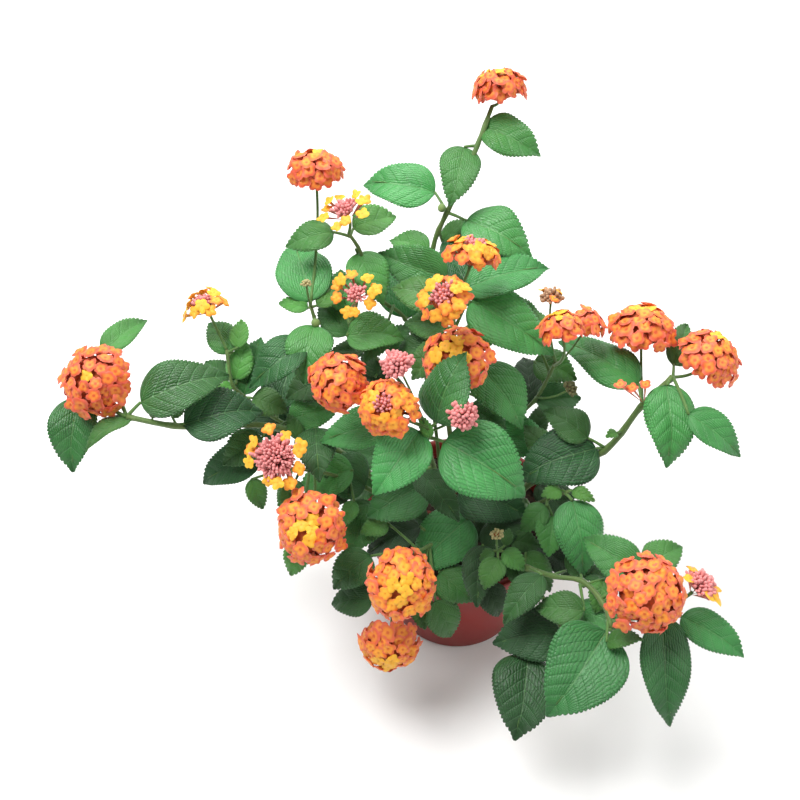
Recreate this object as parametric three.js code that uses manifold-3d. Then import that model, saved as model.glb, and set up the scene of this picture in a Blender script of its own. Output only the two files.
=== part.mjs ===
// A lantana in its nursery pot. Millimetres, +Z up, origin at the middle of the pot's base.
// Azimuths ("headings") run anticlockwise from +X seen from above, and "lifts" rise from level,
// both in degrees.
import * as THREE from "three";
import { ConvexHull } from "three/addons/math/ConvexHull.js";
import { mergeVertices } from "three/addons/utils/BufferGeometryUtils.js";
import Module from "manifold-3d";

const wasm = await Module();
wasm.setup();

// Driving dimensions
const GAP = 0.3; // clearance between neighbouring pieces
const MERGE = 0.05; // edges shorter than this are closed up

const POT = {
  height: 84,
  baseRadius: 40,
  mouthRadius: 52.6,
  lipRadius: 56,
  lipHeight: 7,
  wall: 1.5,
  floorTop: 3.6,
  footInner: 33,
  footRise: 1.4,
  middleFoot: 9,
  sides: 28,
};
const DRAIN = { count: 4, radius: 3.5, ring: 22, sides: 8 };
const SOIL = { top: 74, mound: 2.5, rings: 3, sides: 14, crumb: 1.3, seed: 5 };
const HOLE_CLEAR = 0.5; // how much wider than its stem a hole in the soil is

const LEAF = {
  thick: 0.7,
  ribThick: 1.3,
  stalkWide: 1.5,
  fold: 0.3, // radians that each half rises from the midrib
  arch: 0.09, // height of the arch over the blade's length
  notch: 0.1, // depth of a notch over the half width
  reach: 0.18, // how far a tooth leans to the tip, over its own length
  start: 0.35, // how far the first tooth is drawn back to the stalk, over half its length
};
// Teeth on a side, by the longest blade that has so many
const TEETH = [[20, 2], [42, 3], [Infinity, 4]];

const STEM_STEPS = 7;
const STALK = { thick: 1.6, steps: 3, sides: 3, sweep: 0.45 };

// Florets stand round a core: radii over the head's own, and the two squashes make a dome
const HEAD = {
  core: 0.62,
  throat: 0.84,
  flare: 0.84,
  bud: 0.8,
  dome: 0.85,
  under: 0.5,
  bare: 108, // degrees from the top beyond which the cells stay flat
  seed: 3,
};
// How many cells each kind of head has, and how far from its top they are left flat or are buds
const KINDS = {
  full: { cells: 20, flatTo: 0, budsTo: 0 },
  ring: { cells: 18, flatTo: 45, budsTo: 0 },
  buds: { cells: 24, flatTo: 0, budsTo: 180 },
  cream: { cells: 12, flatTo: 0, budsTo: 180 },
  seed: { cells: 16, flatTo: 0, budsTo: 180 },
  spent: { cells: 12, flatTo: 0, budsTo: 180 },
  cluster: { cells: 12, flatTo: 0, budsTo: 180 },
};
// The bud cluster inside a ring of florets: its width, and how far the core's flat middle lies
// under the core's own radius, both over the head's width
const CLUSTER = { wide: 0.5, sunk: 0.047 };

const COLOURS = {
  pot: [0x7d3230, 0.55],
  soil: [0x2b2019, 0.95],
  green: [0x2f6b3c, 0.5],
  full: [0xf0763a, 0.6],
  ring: [0xf7c231, 0.6],
  buds: [0xdb6f7c, 0.6],
  cluster: [0xdb6f7c, 0.6],
  cream: [0xd9c98f, 0.7],
  seed: [0xc79a63, 0.7],
  spent: [0xa8895f, 0.8],
};

// Each leafy stem: its centre line up from the soil, its leaves and its heads.
// A leaf springs at a share of the stem, on a stalk, then a blade, each as length, heading and lift.
// A head has its own place and size, and the heading and lift of its axis.
const PLANT = {
  back: {
    thick: 3.6,
    path: [
      [2, 20, 58], [-9, 35, 140], [-17, 84, 205], [-10, 89, 228],
      [-2, 91, 246], [6, 104, 262], [14, 122, 274],
    ],
    leaves: [
      { at: 0.95, stalk: [1, 95, 25], blade: [34, 334, -12], wide: 26, roll: 20 },
      { at: 0.91, stalk: [7, 171, -11], blade: [35, 255, -25], wide: 23, roll: -5 },
      { at: 0.75, stalk: [14, 119, 20], blade: [41, 165, 0], wide: 29, roll: -20 },
      { at: 0.75, stalk: [14, 314, 10], blade: [40, 329, -8], wide: 32, roll: 15 },
      { at: 0.65, stalk: [7, 37, 9], blade: [23, 15, 0], wide: 20, roll: 20 },
      { at: 0.65, stalk: [5, 157, 8], blade: [23, 158, 5], wide: 20, roll: -20 },
      { at: 0.7, stalk: [9, 59, -68], blade: [20, 27, 31], wide: 12 },
    ],
    heads: {
      head_back: { at: 1, centre: [17, 123, 283], wide: 28, axis: [100, 60], kind: "full" },
    },
  },
  back_left: {
    thick: 2.6,
    path: [
      [-8, 18, 58], [-17, 44, 130], [-33, 52, 188], [-45, 52, 200],
      [-56, 56, 232], [-61, 58, 240],
    ],
    leaves: [
      { at: 0.99, stalk: [9, 168, 9], blade: [26, 187, -15], wide: 19, roll: -20 },
      { at: 0.99, stalk: [6, 75, 9], blade: [24, 21, 5], wide: 19, roll: 20 },
      { at: 0.95, stalk: [3, 16, -78], blade: [30, 301, -29], wide: 23, roll: 10 },
      { at: 0.68, stalk: [3, 36, 18], blade: [40, 98, 10], wide: 30, roll: -5 },
      { at: 0.74, stalk: [12, 257, -1], blade: [26, 239, -20], wide: 19, roll: -10 },
    ],
    heads: {
      head_left_back: { at: 1, centre: [-62, 58, 254], wide: 25, axis: [200, 70], kind: "ring" },
    },
  },
  left_back: {
    thick: 2.6,
    path: [[-15, 12, 58], [-35, 22, 120], [-61, 25, 158], [-77, 28, 200], [-81, 35, 212]],
    leaves: [
      { at: 1, stalk: [2, 79, 27], blade: [42, 105, 8], wide: 31, roll: -5 },
      { at: 0.99, stalk: [2, 199, 5], blade: [16, 165, 0], wide: 11, roll: -20 },
      { at: 0.99, stalk: [3, 17, 8], blade: [17, 36, 5], wide: 11, roll: 15 },
      { at: 0.96, stalk: [7, 273, 0], blade: [31, 259, -30], wide: 26, roll: -5 },
      { at: 0.93, stalk: [15, 243, 0], blade: [36, 213, -22], wide: 24, roll: -15 },
      { at: 0.69, stalk: [8, 170, 4], blade: [27, 204, -5], wide: 23, roll: -20 },
      { at: 0.34, stalk: [11, 226, -44], blade: [35, 169, 16], wide: 22 },
    ],
    heads: {
      head_back_left: { at: 1, centre: [-78, 81, 262], wide: 28, axis: [100, 75], kind: "full" },
      head_left_orange: { at: 0.61, centre: [-65, -14, 205], wide: 29, axis: [260, 55], kind: "full" },
      buds_tiny: { at: 0.99, centre: [-82, 33, 228], wide: 6, axis: [100, 70], kind: "cream" },
    },
  },
  mid_left: {
    thick: 2.4,
    path: [[-8, 8, 58], [-28, 35, 140], [-50, 32, 180], [-61, 32, 200]],
    leaves: [
      { at: 0.99, stalk: [7, 253, 0], blade: [30, 359, 0], wide: 24, roll: 15 },
      { at: 0.86, stalk: [7, 1, 9], blade: [22, 48, 10], wide: 14, roll: 15 },
      { at: 1, stalk: [8, 106, 20], blade: [28, 98, 15], wide: 17, roll: -5 },
      { at: 0.77, stalk: [11, 245, 10], blade: [20, 110, 0], wide: 12, roll: -5 },
      { at: 0.65, stalk: [7, 191, 10], blade: [24, 152, -5], wide: 19, roll: -20 },
      { at: 0.59, stalk: [7, 208, 5], blade: [19, 222, 8], wide: 14, roll: -15 },
      { at: 0.98, stalk: [3, 230, -39], blade: [25, 134, 12], wide: 20, roll: -15 },
      { at: 0.86, stalk: [4, 159, -1], blade: [19, 174, -10], wide: 14, roll: -20 },
    ],
    heads: {
      head_mid_left: { at: 1, centre: [-57, 29, 224], wide: 22, axis: [260, 60], kind: "ring" },
    },
  },
  left_high: {
    thick: 2.4,
    path: [
      [-22, 8, 58], [-66, 11, 120], [-100, 10, 150], [-117, 9, 170],
      [-122, 9, 178], [-125, 22, 192],
    ],
    leaves: [
      { at: 0.98, stalk: [3, 46, 19], blade: [24, 127, 10], wide: 18, roll: -10 },
      { at: 0.99, stalk: [6, 19, 20], blade: [17, 87, 19], wide: 11 },
      { at: 0.89, stalk: [2, 105, 29], blade: [21, 73, 35], wide: 15, roll: 5 },
      { at: 0.89, stalk: [2, 229, 8], blade: [10, 204, -1], wide: 7, roll: -20 },
      { at: 0.84, stalk: [1, 69, 17], blade: [34, 76, 25], wide: 18, roll: 5 },
      { at: 0.83, stalk: [4, 348, 10], blade: [20, 342, -10], wide: 17, roll: 20 },
      { at: 0.86, stalk: [10, 123, 9], blade: [20, 138, 0], wide: 13, roll: -15 },
      { at: 0.7, stalk: [7, 83, 0], blade: [36, 83, 3], wide: 25 },
      { at: 0.6, stalk: [3, 162, 0], blade: [39, 155, -9], wide: 27 },
    ],
    heads: {
      head_left_yellow: { at: 1, centre: [-135, 34, 212], wide: 22, axis: [150, 70], kind: "ring" },
    },
  },
  left: {
    thick: 4,
    path: [[-23, -1, 58], [-57, 5, 118], [-100, -2, 158], [-147, -19, 178], [-172, -18, 184]],
    leaves: [
      { at: 1, stalk: [44, 114, 8], blade: [31, 50, 4], wide: 16, roll: 15 },
      { at: 1, stalk: [32, 151, -5], blade: [38, 265, -39], wide: 26, roll: -5 },
      { at: 1, stalk: [2, 340, -7], blade: [28, 212, -15], wide: 15, roll: 15 },
      { at: 1, stalk: [10, 43, 24], blade: [46, 17, 8], wide: 31, roll: 20 },
      { at: 0.88, stalk: [4, 4, 8], blade: [41, 18, -6], wide: 30, roll: 20 },
      { at: 0.88, stalk: [6, 120, 10], blade: [7, 29, 9], wide: 6, roll: 15 },
      { at: 0.62, stalk: [13, 58, -20], blade: [28, 15, 7], wide: 23, roll: 20 },
      { at: 0.64, stalk: [7, 247, -1], blade: [25, 207, -20], wide: 20, roll: -20 },
      { at: 0.55, stalk: [6, 281, 25], blade: [15, 119, 29], wide: 9, roll: -10 },
      { at: 0.52, stalk: [11, 344, 64], blade: [36, 276, 3], wide: 24 },
      { at: 0.31, stalk: [12, 344, -44], blade: [23, 186, -38], wide: 15 },
    ],
    heads: {
      head_left: { at: 1, centre: [-188, -3, 194], wide: 37, axis: [240, 55], kind: "full" },
    },
  },
  left_front: {
    thick: 2.6,
    path: [[-18, -10, 58], [-38, -9, 100], [-65, -10, 125], [-85, -16, 140], [-94, -22, 148]],
    leaves: [
      { at: 0.99, stalk: [17, 147, 0], blade: [39, 188, -25], wide: 24, roll: -20 },
      { at: 0.98, stalk: [21, 191, -10], blade: [18, 302, -55], wide: 12, roll: 10 },
      { at: 0.97, stalk: [10, 266, -1], blade: [12, 247, -31], wide: 7, roll: -10 },
      { at: 0.68, stalk: [7, 34, 39], blade: [32, 187, -18], wide: 26, roll: -20 },
      { at: 0.87, stalk: [40, 265, -20], blade: [18, 246, -40], wide: 15, roll: -10 },
      { at: 0.65, stalk: [14, 281, 0], blade: [14, 243, -31], wide: 10, roll: -10 },
      { at: 0.54, stalk: [4, 187, 63], blade: [29, 165, 25], wide: 29, roll: -15 },
      { at: 0.45, stalk: [6, 219, -6], blade: [32, 239, -15], wide: 27, roll: -10 },
      { at: 0.6, stalk: [6, 235, 0], blade: [24, 168, -15], wide: 18, roll: -20 },
      { at: 0.92, stalk: [9, 186, -69], blade: [24, 254, 5], wide: 15 },
    ],
    heads: {
      head_left_buds: { at: 1, centre: [-97, -31, 168], wide: 30, axis: [250, 55], kind: "ring" },
      head_left_low: { at: 0.84, centre: [-80, -56, 142], wide: 35, axis: [265, 50], kind: "full" },
    },
  },
  front: {
    thick: 2.6,
    path: [[-8, -18, 58], [-12, -27, 92], [-24, -41, 102], [-37, -47, 108]],
    leaves: [
      { at: 0.96, stalk: [16, 185, -5], blade: [27, 212, -25], wide: 23, roll: -15 },
      { at: 0.92, stalk: [30, 229, -30], blade: [26, 171, -25], wide: 21, roll: -20 },
      { at: 0.8, stalk: [22, 143, 20], blade: [16, 206, 0], wide: 13, roll: -20 },
      { at: 0.51, stalk: [19, 269, -10], blade: [24, 324, -18], wide: 23, roll: 20 },
      { at: 0.67, stalk: [30, 277, -30], blade: [25, 310, -55], wide: 21, roll: 15 },
      { at: 0.44, stalk: [21, 20, 44], blade: [42, 219, -21], wide: 34, roll: -15 },
      { at: 0.51, stalk: [13, 122, 19], blade: [21, 164, 0], wide: 18, roll: -20 },
      { at: 0.69, stalk: [26, 258, -35], blade: [20, 283, -45], wide: 14, roll: 5 },
      { at: 0.56, stalk: [14, 163, 44], blade: [35, 196, -24], wide: 23 },
    ],
    heads: {
      head_front: { at: 0.96, centre: [-34, -73, 116], wide: 36, axis: [265, 45], kind: "full" },
      head_front_low: { at: 1, centre: [-41, -75, 64], wide: 35, axis: [262, -5], kind: "full" },
    },
  },
  front_right: {
    thick: 2.2,
    path: [[5, -20, 58], [8, -34, 92], [17, -49, 112]],
    leaves: [
      { at: 0.57, stalk: [17, 96, 29], blade: [16, 305, -21], wide: 14, roll: 10 },
      { at: 1, stalk: [4, 271, -8], blade: [18, 241, -30], wide: 15, roll: -10 },
      { at: 1, stalk: [3, 3, 2], blade: [15, 323, -20], wide: 12, roll: 15 },
      { at: 1, stalk: [2, 175, 4], blade: [9, 209, -16], wide: 7, roll: -15 },
      { at: 0.75, stalk: [19, 271, -20], blade: [21, 307, -51], wide: 18, roll: 10 },
      { at: 1, stalk: [5, 36, 17], blade: [10, 71, 19], wide: 7, roll: 5 },
      { at: 0.75, stalk: [15, 15, 15], blade: [17, 354, -11], wide: 14, roll: 20 },
      { at: 0.7, stalk: [11, 263, 67], blade: [33, 263, -25], wide: 20 },
      { at: 0.6, stalk: [11, 296, 63], blade: [30, 38, 4], wide: 20 },
    ],
    heads: {
      buds_cream: { at: 1, centre: [16, -47, 124], wide: 8, axis: [90, 70], kind: "cream" },
    },
  },
  right_low: {
    thick: 3.6,
    path: [
      [14, -15, 58], [22, -45, 98], [46, -62, 108], [60, -68, 112],
      [70, -84, 112], [72, -95, 110],
    ],
    leaves: [
      { at: 1, stalk: [3, 205, -8], blade: [52, 230, -20], wide: 43, roll: -15 },
      { at: 0.97, stalk: [26, 3, 5], blade: [55, 276, -38], wide: 27 },
      { at: 0.95, stalk: [38, 1, 0], blade: [36, 328, -12], wide: 21, roll: 15 },
      { at: 0.87, stalk: [24, 22, 28], blade: [34, 144, 8], wide: 23, roll: -30 },
      { at: 0.89, stalk: [29, 33, 25], blade: [23, 26, 12], wide: 20, roll: 20 },
      { at: 0.77, stalk: [12, 12, 10], blade: [18, 252, -35], wide: 14, roll: -5 },
      { at: 0.76, stalk: [16, 272, -1], blade: [26, 165, -15], wide: 19, roll: -20 },
      { at: 0.5, stalk: [8, 80, 19], blade: [25, 311, -35], wide: 16, roll: 15 },
      { at: 0.43, stalk: [2, 129, 5], blade: [21, 314, -35], wide: 13, roll: 15 },
      { at: 0.64, stalk: [12, 41, -30], blade: [18, 24, 15], wide: 16, roll: 15 },
      { at: 0.52, stalk: [16, 296, 39], blade: [32, 226, -26], wide: 19 },
      { at: 0.78, stalk: [18, 88, -27], blade: [20, 349, -18], wide: 12 },
      { at: 0.96, stalk: [13, 260, 0], blade: [19, 345, 32], wide: 13 },
    ],
    heads: {
      head_low_right: { at: 1, centre: [85, -94, 140], wide: 38, axis: [280, 50], kind: "full" },
      head_low_pink: { at: 0.9, centre: [113, -85, 132], wide: 22, axis: [20, 50], kind: "ring" },
    },
  },
  right_low_side: {
    thick: 2.4,
    path: [[20, -10, 58], [33, -38, 88], [44, -58, 80], [52, -82, 84]],
    leaves: [
      { at: 1, stalk: [2, 172, 7], blade: [36, 186, -6], wide: 31, roll: -20 },
      { at: 0.95, stalk: [23, 218, -11], blade: [44, 258, -20], wide: 37, roll: -5 },
      { at: 1, stalk: [5, 2, 18], blade: [18, 58, 30], wide: 11, roll: 10 },
      { at: 0.96, stalk: [12, 45, 59], blade: [34, 328, 17], wide: 21 },
    ],
    heads: {
    },
  },
  right_mid: {
    thick: 2.4,
    path: [[22, -2, 58], [36, -20, 112], [54, -29, 138]],
    leaves: [
      { at: 0.98, stalk: [3, 157, 13], blade: [12, 204, 5], wide: 10, roll: -20 },
      { at: 1, stalk: [2, 15, 14], blade: [13, 328, 0], wide: 9, roll: 15 },
      { at: 0.97, stalk: [6, 304, -5], blade: [41, 283, -45], wide: 28, roll: 5 },
      { at: 0.82, stalk: [5, 256, 0], blade: [19, 215, -25], wide: 15, roll: -15 },
      { at: 0.65, stalk: [11, 97, -28], blade: [19, 209, 20], wide: 13, roll: -20 },
      { at: 0.8, stalk: [10, 288, -6], blade: [22, 261, -25], wide: 19, roll: -5 },
      { at: 0.63, stalk: [21, 278, -61], blade: [35, 317, 3], wide: 23 },
    ],
    heads: {
    },
  },
  right: {
    thick: 4.2,
    path: [[20, 6, 58], [40, -5, 118], [74, -8, 146], [91, -2, 176], [105, 4, 190]],
    leaves: [
      { at: 0.87, stalk: [12, 97, 25], blade: [49, 144, 6], wide: 27, roll: -15 },
      { at: 1, stalk: [7, 235, 0], blade: [42, 270, -38], wide: 28 },
      { at: 1, stalk: [26, 278, 0], blade: [34, 331, -25], wide: 21, roll: 15 },
      { at: 1, stalk: [14, 76, -17], blade: [26, 67, 19], wide: 19, roll: 25 },
      { at: 0.66, stalk: [3, 170, 3], blade: [45, 198, -12], wide: 36, roll: -20 },
      { at: 0.67, stalk: [10, 157, 20], blade: [28, 149, 14], wide: 21, roll: -15 },
      { at: 0.76, stalk: [5, 219, 19], blade: [8, 216, 15], wide: 6, roll: -15 },
      { at: 0.5, stalk: [6, 150, 19], blade: [26, 126, 21], wide: 19, roll: -10 },
      { at: 0.38, stalk: [3, 303, 0], blade: [34, 309, -10], wide: 21 },
    ],
    heads: {
      head_right_orange: { at: 0.87, centre: [91, 28, 200], wide: 34, axis: [100, 70], kind: "full" },
      head_right: { at: 1, centre: [122, 9, 198], wide: 34, axis: [20, 60], kind: "full" },
    },
  },
  right_back: {
    thick: 2.6,
    path: [[14, 14, 58], [24, 21, 130], [39, 21, 155], [47, 20, 185]],
    leaves: [
      { at: 0.76, stalk: [2, 333, -5], blade: [25, 7, 0], wide: 21, roll: 20 },
      { at: 0.86, stalk: [15, 110, 20], blade: [25, 338, -12], wide: 21, roll: 20 },
      { at: 1, stalk: [14, 114, 25], blade: [20, 114, 15], wide: 13, roll: -10 },
      { at: 0.93, stalk: [26, 114, 25], blade: [26, 119, 15], wide: 19, roll: -10 },
      { at: 0.68, stalk: [5, 45, 14], blade: [37, 91, 5], wide: 21 },
      { at: 0.55, stalk: [9, 223, 10], blade: [33, 356, -6], wide: 27, roll: 20 },
      { at: 0.62, stalk: [4, 151, 14], blade: [19, 121, 5], wide: 16, roll: -10 },
      { at: 0.56, stalk: [18, 2, -26], blade: [21, 67, 29], wide: 13 },
    ],
    heads: {
      head_right_seed: { at: 1, centre: [42, 29, 222], wide: 13, axis: [80, 70], kind: "seed" },
      head_right_back: { at: 0.98, centre: [46, 14, 214], wide: 23, axis: [120, 55], kind: "full" },
      head_right_red: { at: 0.95, centre: [62, 27, 206], wide: 18, axis: [40, 60], kind: "full" },
      spent_right: { at: 0.78, centre: [55, 13, 172], wide: 10, axis: [10, 40], kind: "spent" },
    },
  },
  centre_back: {
    thick: 3,
    path: [[5, 8, 58], [1, 14, 130], [-5, 19, 172], [-7, 27, 205], [-8, 33, 220]],
    leaves: [
      { at: 0.93, stalk: [16, 64, 25], blade: [47, 18, 5], wide: 28, roll: 10 },
      { at: 0.92, stalk: [14, 48, 14], blade: [51, 332, -17], wide: 34, roll: 20 },
      { at: 0.99, stalk: [12, 104, 19], blade: [39, 156, 5], wide: 26, roll: -55 },
      { at: 0.85, stalk: [6, 238, 5], blade: [26, 219, -18], wide: 20, roll: -15 },
      { at: 0.87, stalk: [4, 11, 10], blade: [17, 350, -20], wide: 14, roll: 20 },
      { at: 0.73, stalk: [13, 9, 10], blade: [40, 308, -25], wide: 30, roll: 10 },
      { at: 0.66, stalk: [19, 324, 5], blade: [20, 358, -15], wide: 16, roll: 20 },
      { at: 0.99, stalk: [8, 208, 15], blade: [26, 161, 5], wide: 22, roll: -20 },
      { at: 0.83, stalk: [9, 340, 20], blade: [23, 45, 10], wide: 18, roll: 15 },
      { at: 0.89, stalk: [4, 186, 9], blade: [23, 163, -5], wide: 20, roll: -20 },
      { at: 0.83, stalk: [8, 189, 4], blade: [25, 178, -15], wide: 20, roll: -20 },
      { at: 0.62, stalk: [9, 304, 4], blade: [23, 336, -15], wide: 18, roll: 20 },
      { at: 0.88, stalk: [20, 61, 30], blade: [37, 113, 16], wide: 23 },
    ],
    heads: {
      head_centre_back: { at: 1, centre: [1, 30, 248], wide: 26, axis: [60, 60], kind: "ring" },
      head_centre_high: { at: 0.97, centre: [-13, 6, 242], wide: 24, axis: [230, 60], kind: "ring" },
      head_centre: { at: 0.64, centre: [-6, 3, 203], wide: 35, axis: [230, 65], kind: "full" },
    },
  },
  centre: {
    thick: 3.2,
    path: [[-4, -4, 58], [-11, -3, 100], [-17, -15, 143], [-21, -25, 174], [-21, -29, 188]],
    leaves: [
      { at: 0.98, stalk: [6, 15, 45], blade: [38, 58, 50], wide: 32, roll: -20 },
      { at: 0.92, stalk: [9, 336, 4], blade: [49, 334, -20], wide: 42, roll: 20 },
      { at: 0.98, stalk: [4, 190, 4], blade: [39, 230, -25], wide: 30, roll: -15 },
      { at: 0.97, stalk: [5, 283, 9], blade: [12, 113, 24], wide: 7, roll: -10 },
      { at: 0.51, stalk: [9, 220, 10], blade: [36, 206, -15], wide: 31, roll: -20 },
      { at: 0.4, stalk: [13, 329, 24], blade: [40, 342, -8], wide: 32, roll: 20 },
      { at: 0.78, stalk: [28, 155, 20], blade: [34, 193, -8], wide: 25, roll: -20 },
      { at: 0.6, stalk: [9, 174, 10], blade: [16, 181, -10], wide: 14, roll: -20 },
      { at: 0.46, stalk: [9, 14, 15], blade: [24, 359, -10], wide: 20, roll: 20 },
      { at: 0.63, stalk: [9, 210, 0], blade: [34, 308, -10], wide: 21 },
    ],
    heads: {
      head_centre_yellow: { at: 1, centre: [-41, -31, 205], wide: 28, axis: [250, 60], kind: "ring" },
      buds_centre: { at: 0.98, centre: [-36, -19, 222], wide: 15, axis: [200, 70], kind: "buds" },
      buds_right: { at: 0.96, centre: [-4, -31, 200], wide: 15, axis: [300, 60], kind: "buds" },
    },
  },
};

const UP = new THREE.Vector3(0, 0, 1);
const radians = THREE.MathUtils.degToRad;
const point = ([x, y, z]) => new THREE.Vector3(x, y, z);

function aimOf([heading, lift]) {
  const level = Math.cos(radians(lift));
  return new THREE.Vector3(
    level * Math.cos(radians(heading)),
    level * Math.sin(radians(heading)),
    Math.sin(radians(lift)),
  );
}

function seededRandom(seed) {
  let state = seed >>> 0;
  return () => {
    state = (Math.imul(state, 1664525) + 1013904223) >>> 0;
    return state / 4294967296;
  };
}

function geometryFrom(points, faces) {
  const geometry = new THREE.BufferGeometry();
  const places = points.flatMap((p) => [p.x, p.y, p.z]);
  geometry.setAttribute("position", new THREE.Float32BufferAttribute(places, 3));
  geometry.setIndex(faces.flat());
  return geometry;
}

function solidOf(geometry) {
  const bare = geometry.clone();
  bare.deleteAttribute("normal");
  bare.deleteAttribute("uv");
  const merged = mergeVertices(bare, 1e-3);
  const mesh = new wasm.Mesh({
    numProp: 3,
    vertProperties: merged.attributes.position.array,
    triVerts: new Uint32Array(merged.index.array),
  });
  return new wasm.Manifold(mesh);
}

function geometryOf(solid) {
  const { vertProperties, triVerts } = solid.getMesh();
  const geometry = new THREE.BufferGeometry();
  geometry.setAttribute("position", new THREE.BufferAttribute(vertProperties, 3));
  geometry.setIndex(new THREE.BufferAttribute(triVerts, 1));
  return geometry;
}

function meshOf(name, geometry, colour) {
  geometry.computeVertexNormals();
  const [color, roughness] = COLOURS[colour];
  const material = new THREE.MeshStandardMaterial({ color, roughness, metalness: 0 });
  const mesh = new THREE.Mesh(geometry, material);
  mesh.name = name;
  return mesh;
}

// A turned shape from a closed profile of [radius, height], as a solid
function turned(profile, sides) {
  const closed = [...profile, profile[0]].map(([x, y]) => new THREE.Vector2(x, y));
  const geometry = new THREE.LatheGeometry(closed, sides);
  geometry.rotateX(Math.PI / 2);
  return geometry;
}

const innerRadius = (z) =>
  POT.baseRadius + (POT.mouthRadius - POT.baseRadius) * (z / POT.height) - POT.wall;

function potSolid() {
  const { height, baseRadius, mouthRadius, lipRadius, lipHeight, floorTop } = POT;
  const { footInner, footRise, middleFoot } = POT;
  const lipFoot = height - lipHeight;
  const profile = [
    [0, 0],
    [middleFoot, 0],
    [middleFoot + 1, footRise],
    [footInner - 1, footRise],
    [footInner, 0],
    [baseRadius - 1.4, 0],
    [baseRadius, 1.6],
    [mouthRadius - 1.2, lipFoot - 1],
    [lipRadius - 0.6, lipFoot],
    [lipRadius, height - 1.5],
    [lipRadius - 1.4, height],
    [mouthRadius - 0.4, height - 0.4],
    [innerRadius(lipFoot), lipFoot],
    [innerRadius(floorTop), floorTop],
    [0, floorTop],
  ];
  let pot = solidOf(turned(profile, POT.sides));
  for (let i = 0; i < DRAIN.count; i++) {
    const hole = new THREE.CylinderGeometry(DRAIN.radius, DRAIN.radius, 3 * floorTop, DRAIN.sides);
    const turn = (2 * Math.PI * (i + 0.5)) / DRAIN.count;
    hole.rotateX(Math.PI / 2);
    hole.translate(DRAIN.ring * Math.cos(turn), DRAIN.ring * Math.sin(turn), 0);
    pot = pot.subtract(solidOf(hole));
  }
  return pot;
}

// A rod of so many sides along a curve
function rodGeometry(curve, thick, steps, sides = 4) {
  const corners = [];
  for (let i = 0; i < sides; i++) {
    const turn = (2 * Math.PI * i) / sides;
    corners.push(new THREE.Vector2((thick / 2) * Math.cos(turn), (thick / 2) * Math.sin(turn)));
  }
  return new THREE.ExtrudeGeometry(new THREE.Shape(corners), { steps, extrudePath: curve });
}

const stemCurve = (path) => new THREE.CatmullRomCurve3(path.map(point), false, "centripetal");

// The place on the rod of a stem at a share of its length
function stemPoint(path, share) {
  const spine = stemCurve(path).getSpacedPoints(STEM_STEPS);
  const step = Math.min(Math.floor(share * STEM_STEPS), STEM_STEPS - 1);
  return spine[step].clone().lerp(spine[step + 1], share * STEM_STEPS - step);
}

// The soil fills the pot up to a low crumbly mound and has a hole for each stem
function soilSolid() {
  const { top, mound, rings, sides, crumb, seed } = SOIL;
  const foot = POT.floorTop + GAP;
  const brim = innerRadius(top) - GAP;
  const profile = [[0, foot], [innerRadius(foot) - GAP, foot], [brim, top]];
  for (let i = rings - 1; i >= 0; i--) {
    const share = i / rings;
    profile.push([brim * share, top + mound * (1 - share * share)]);
  }
  const geometry = turned(profile, sides);
  geometry.deleteAttribute("normal");
  geometry.deleteAttribute("uv");
  const merged = mergeVertices(geometry, 1e-3);
  const random = seededRandom(seed);
  const places = merged.attributes.position;
  for (let i = 0; i < places.count; i++) {
    const lump = crumb * (2 * random() - 1);
    const inside = Math.hypot(places.getX(i), places.getY(i)) < brim - 1;
    if (places.getZ(i) > top && inside) places.setZ(i, places.getZ(i) + lump);
  }
  let soil = solidOf(merged);
  for (const { path, thick } of Object.values(PLANT)) {
    const [[x, y, z], ...rest] = path;
    const deeper = stemCurve([[x, y, z - GAP], ...rest]);
    soil = soil.subtract(solidOf(rodGeometry(deeper, thick + 2 * HOLE_CLEAR, STEM_STEPS)));
  }
  return soil;
}

// Half the blade's width along it, over the widest: round at the base and drawn out to the tip
const outline = (share) => Math.sin(Math.PI * share ** 0.62) ** 0.75;

// The blade's own axes: along it, to its left and out of its face
function bladeFrame([, heading, lift], roll) {
  const along = aimOf([heading, lift]);
  const left = new THREE.Vector3().crossVectors(UP, along).normalize();
  const face = new THREE.Vector3().crossVectors(along, left);
  left.applyAxisAngle(along, radians(roll));
  face.applyAxisAngle(along, radians(roll));
  return { along, left, face };
}

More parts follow.
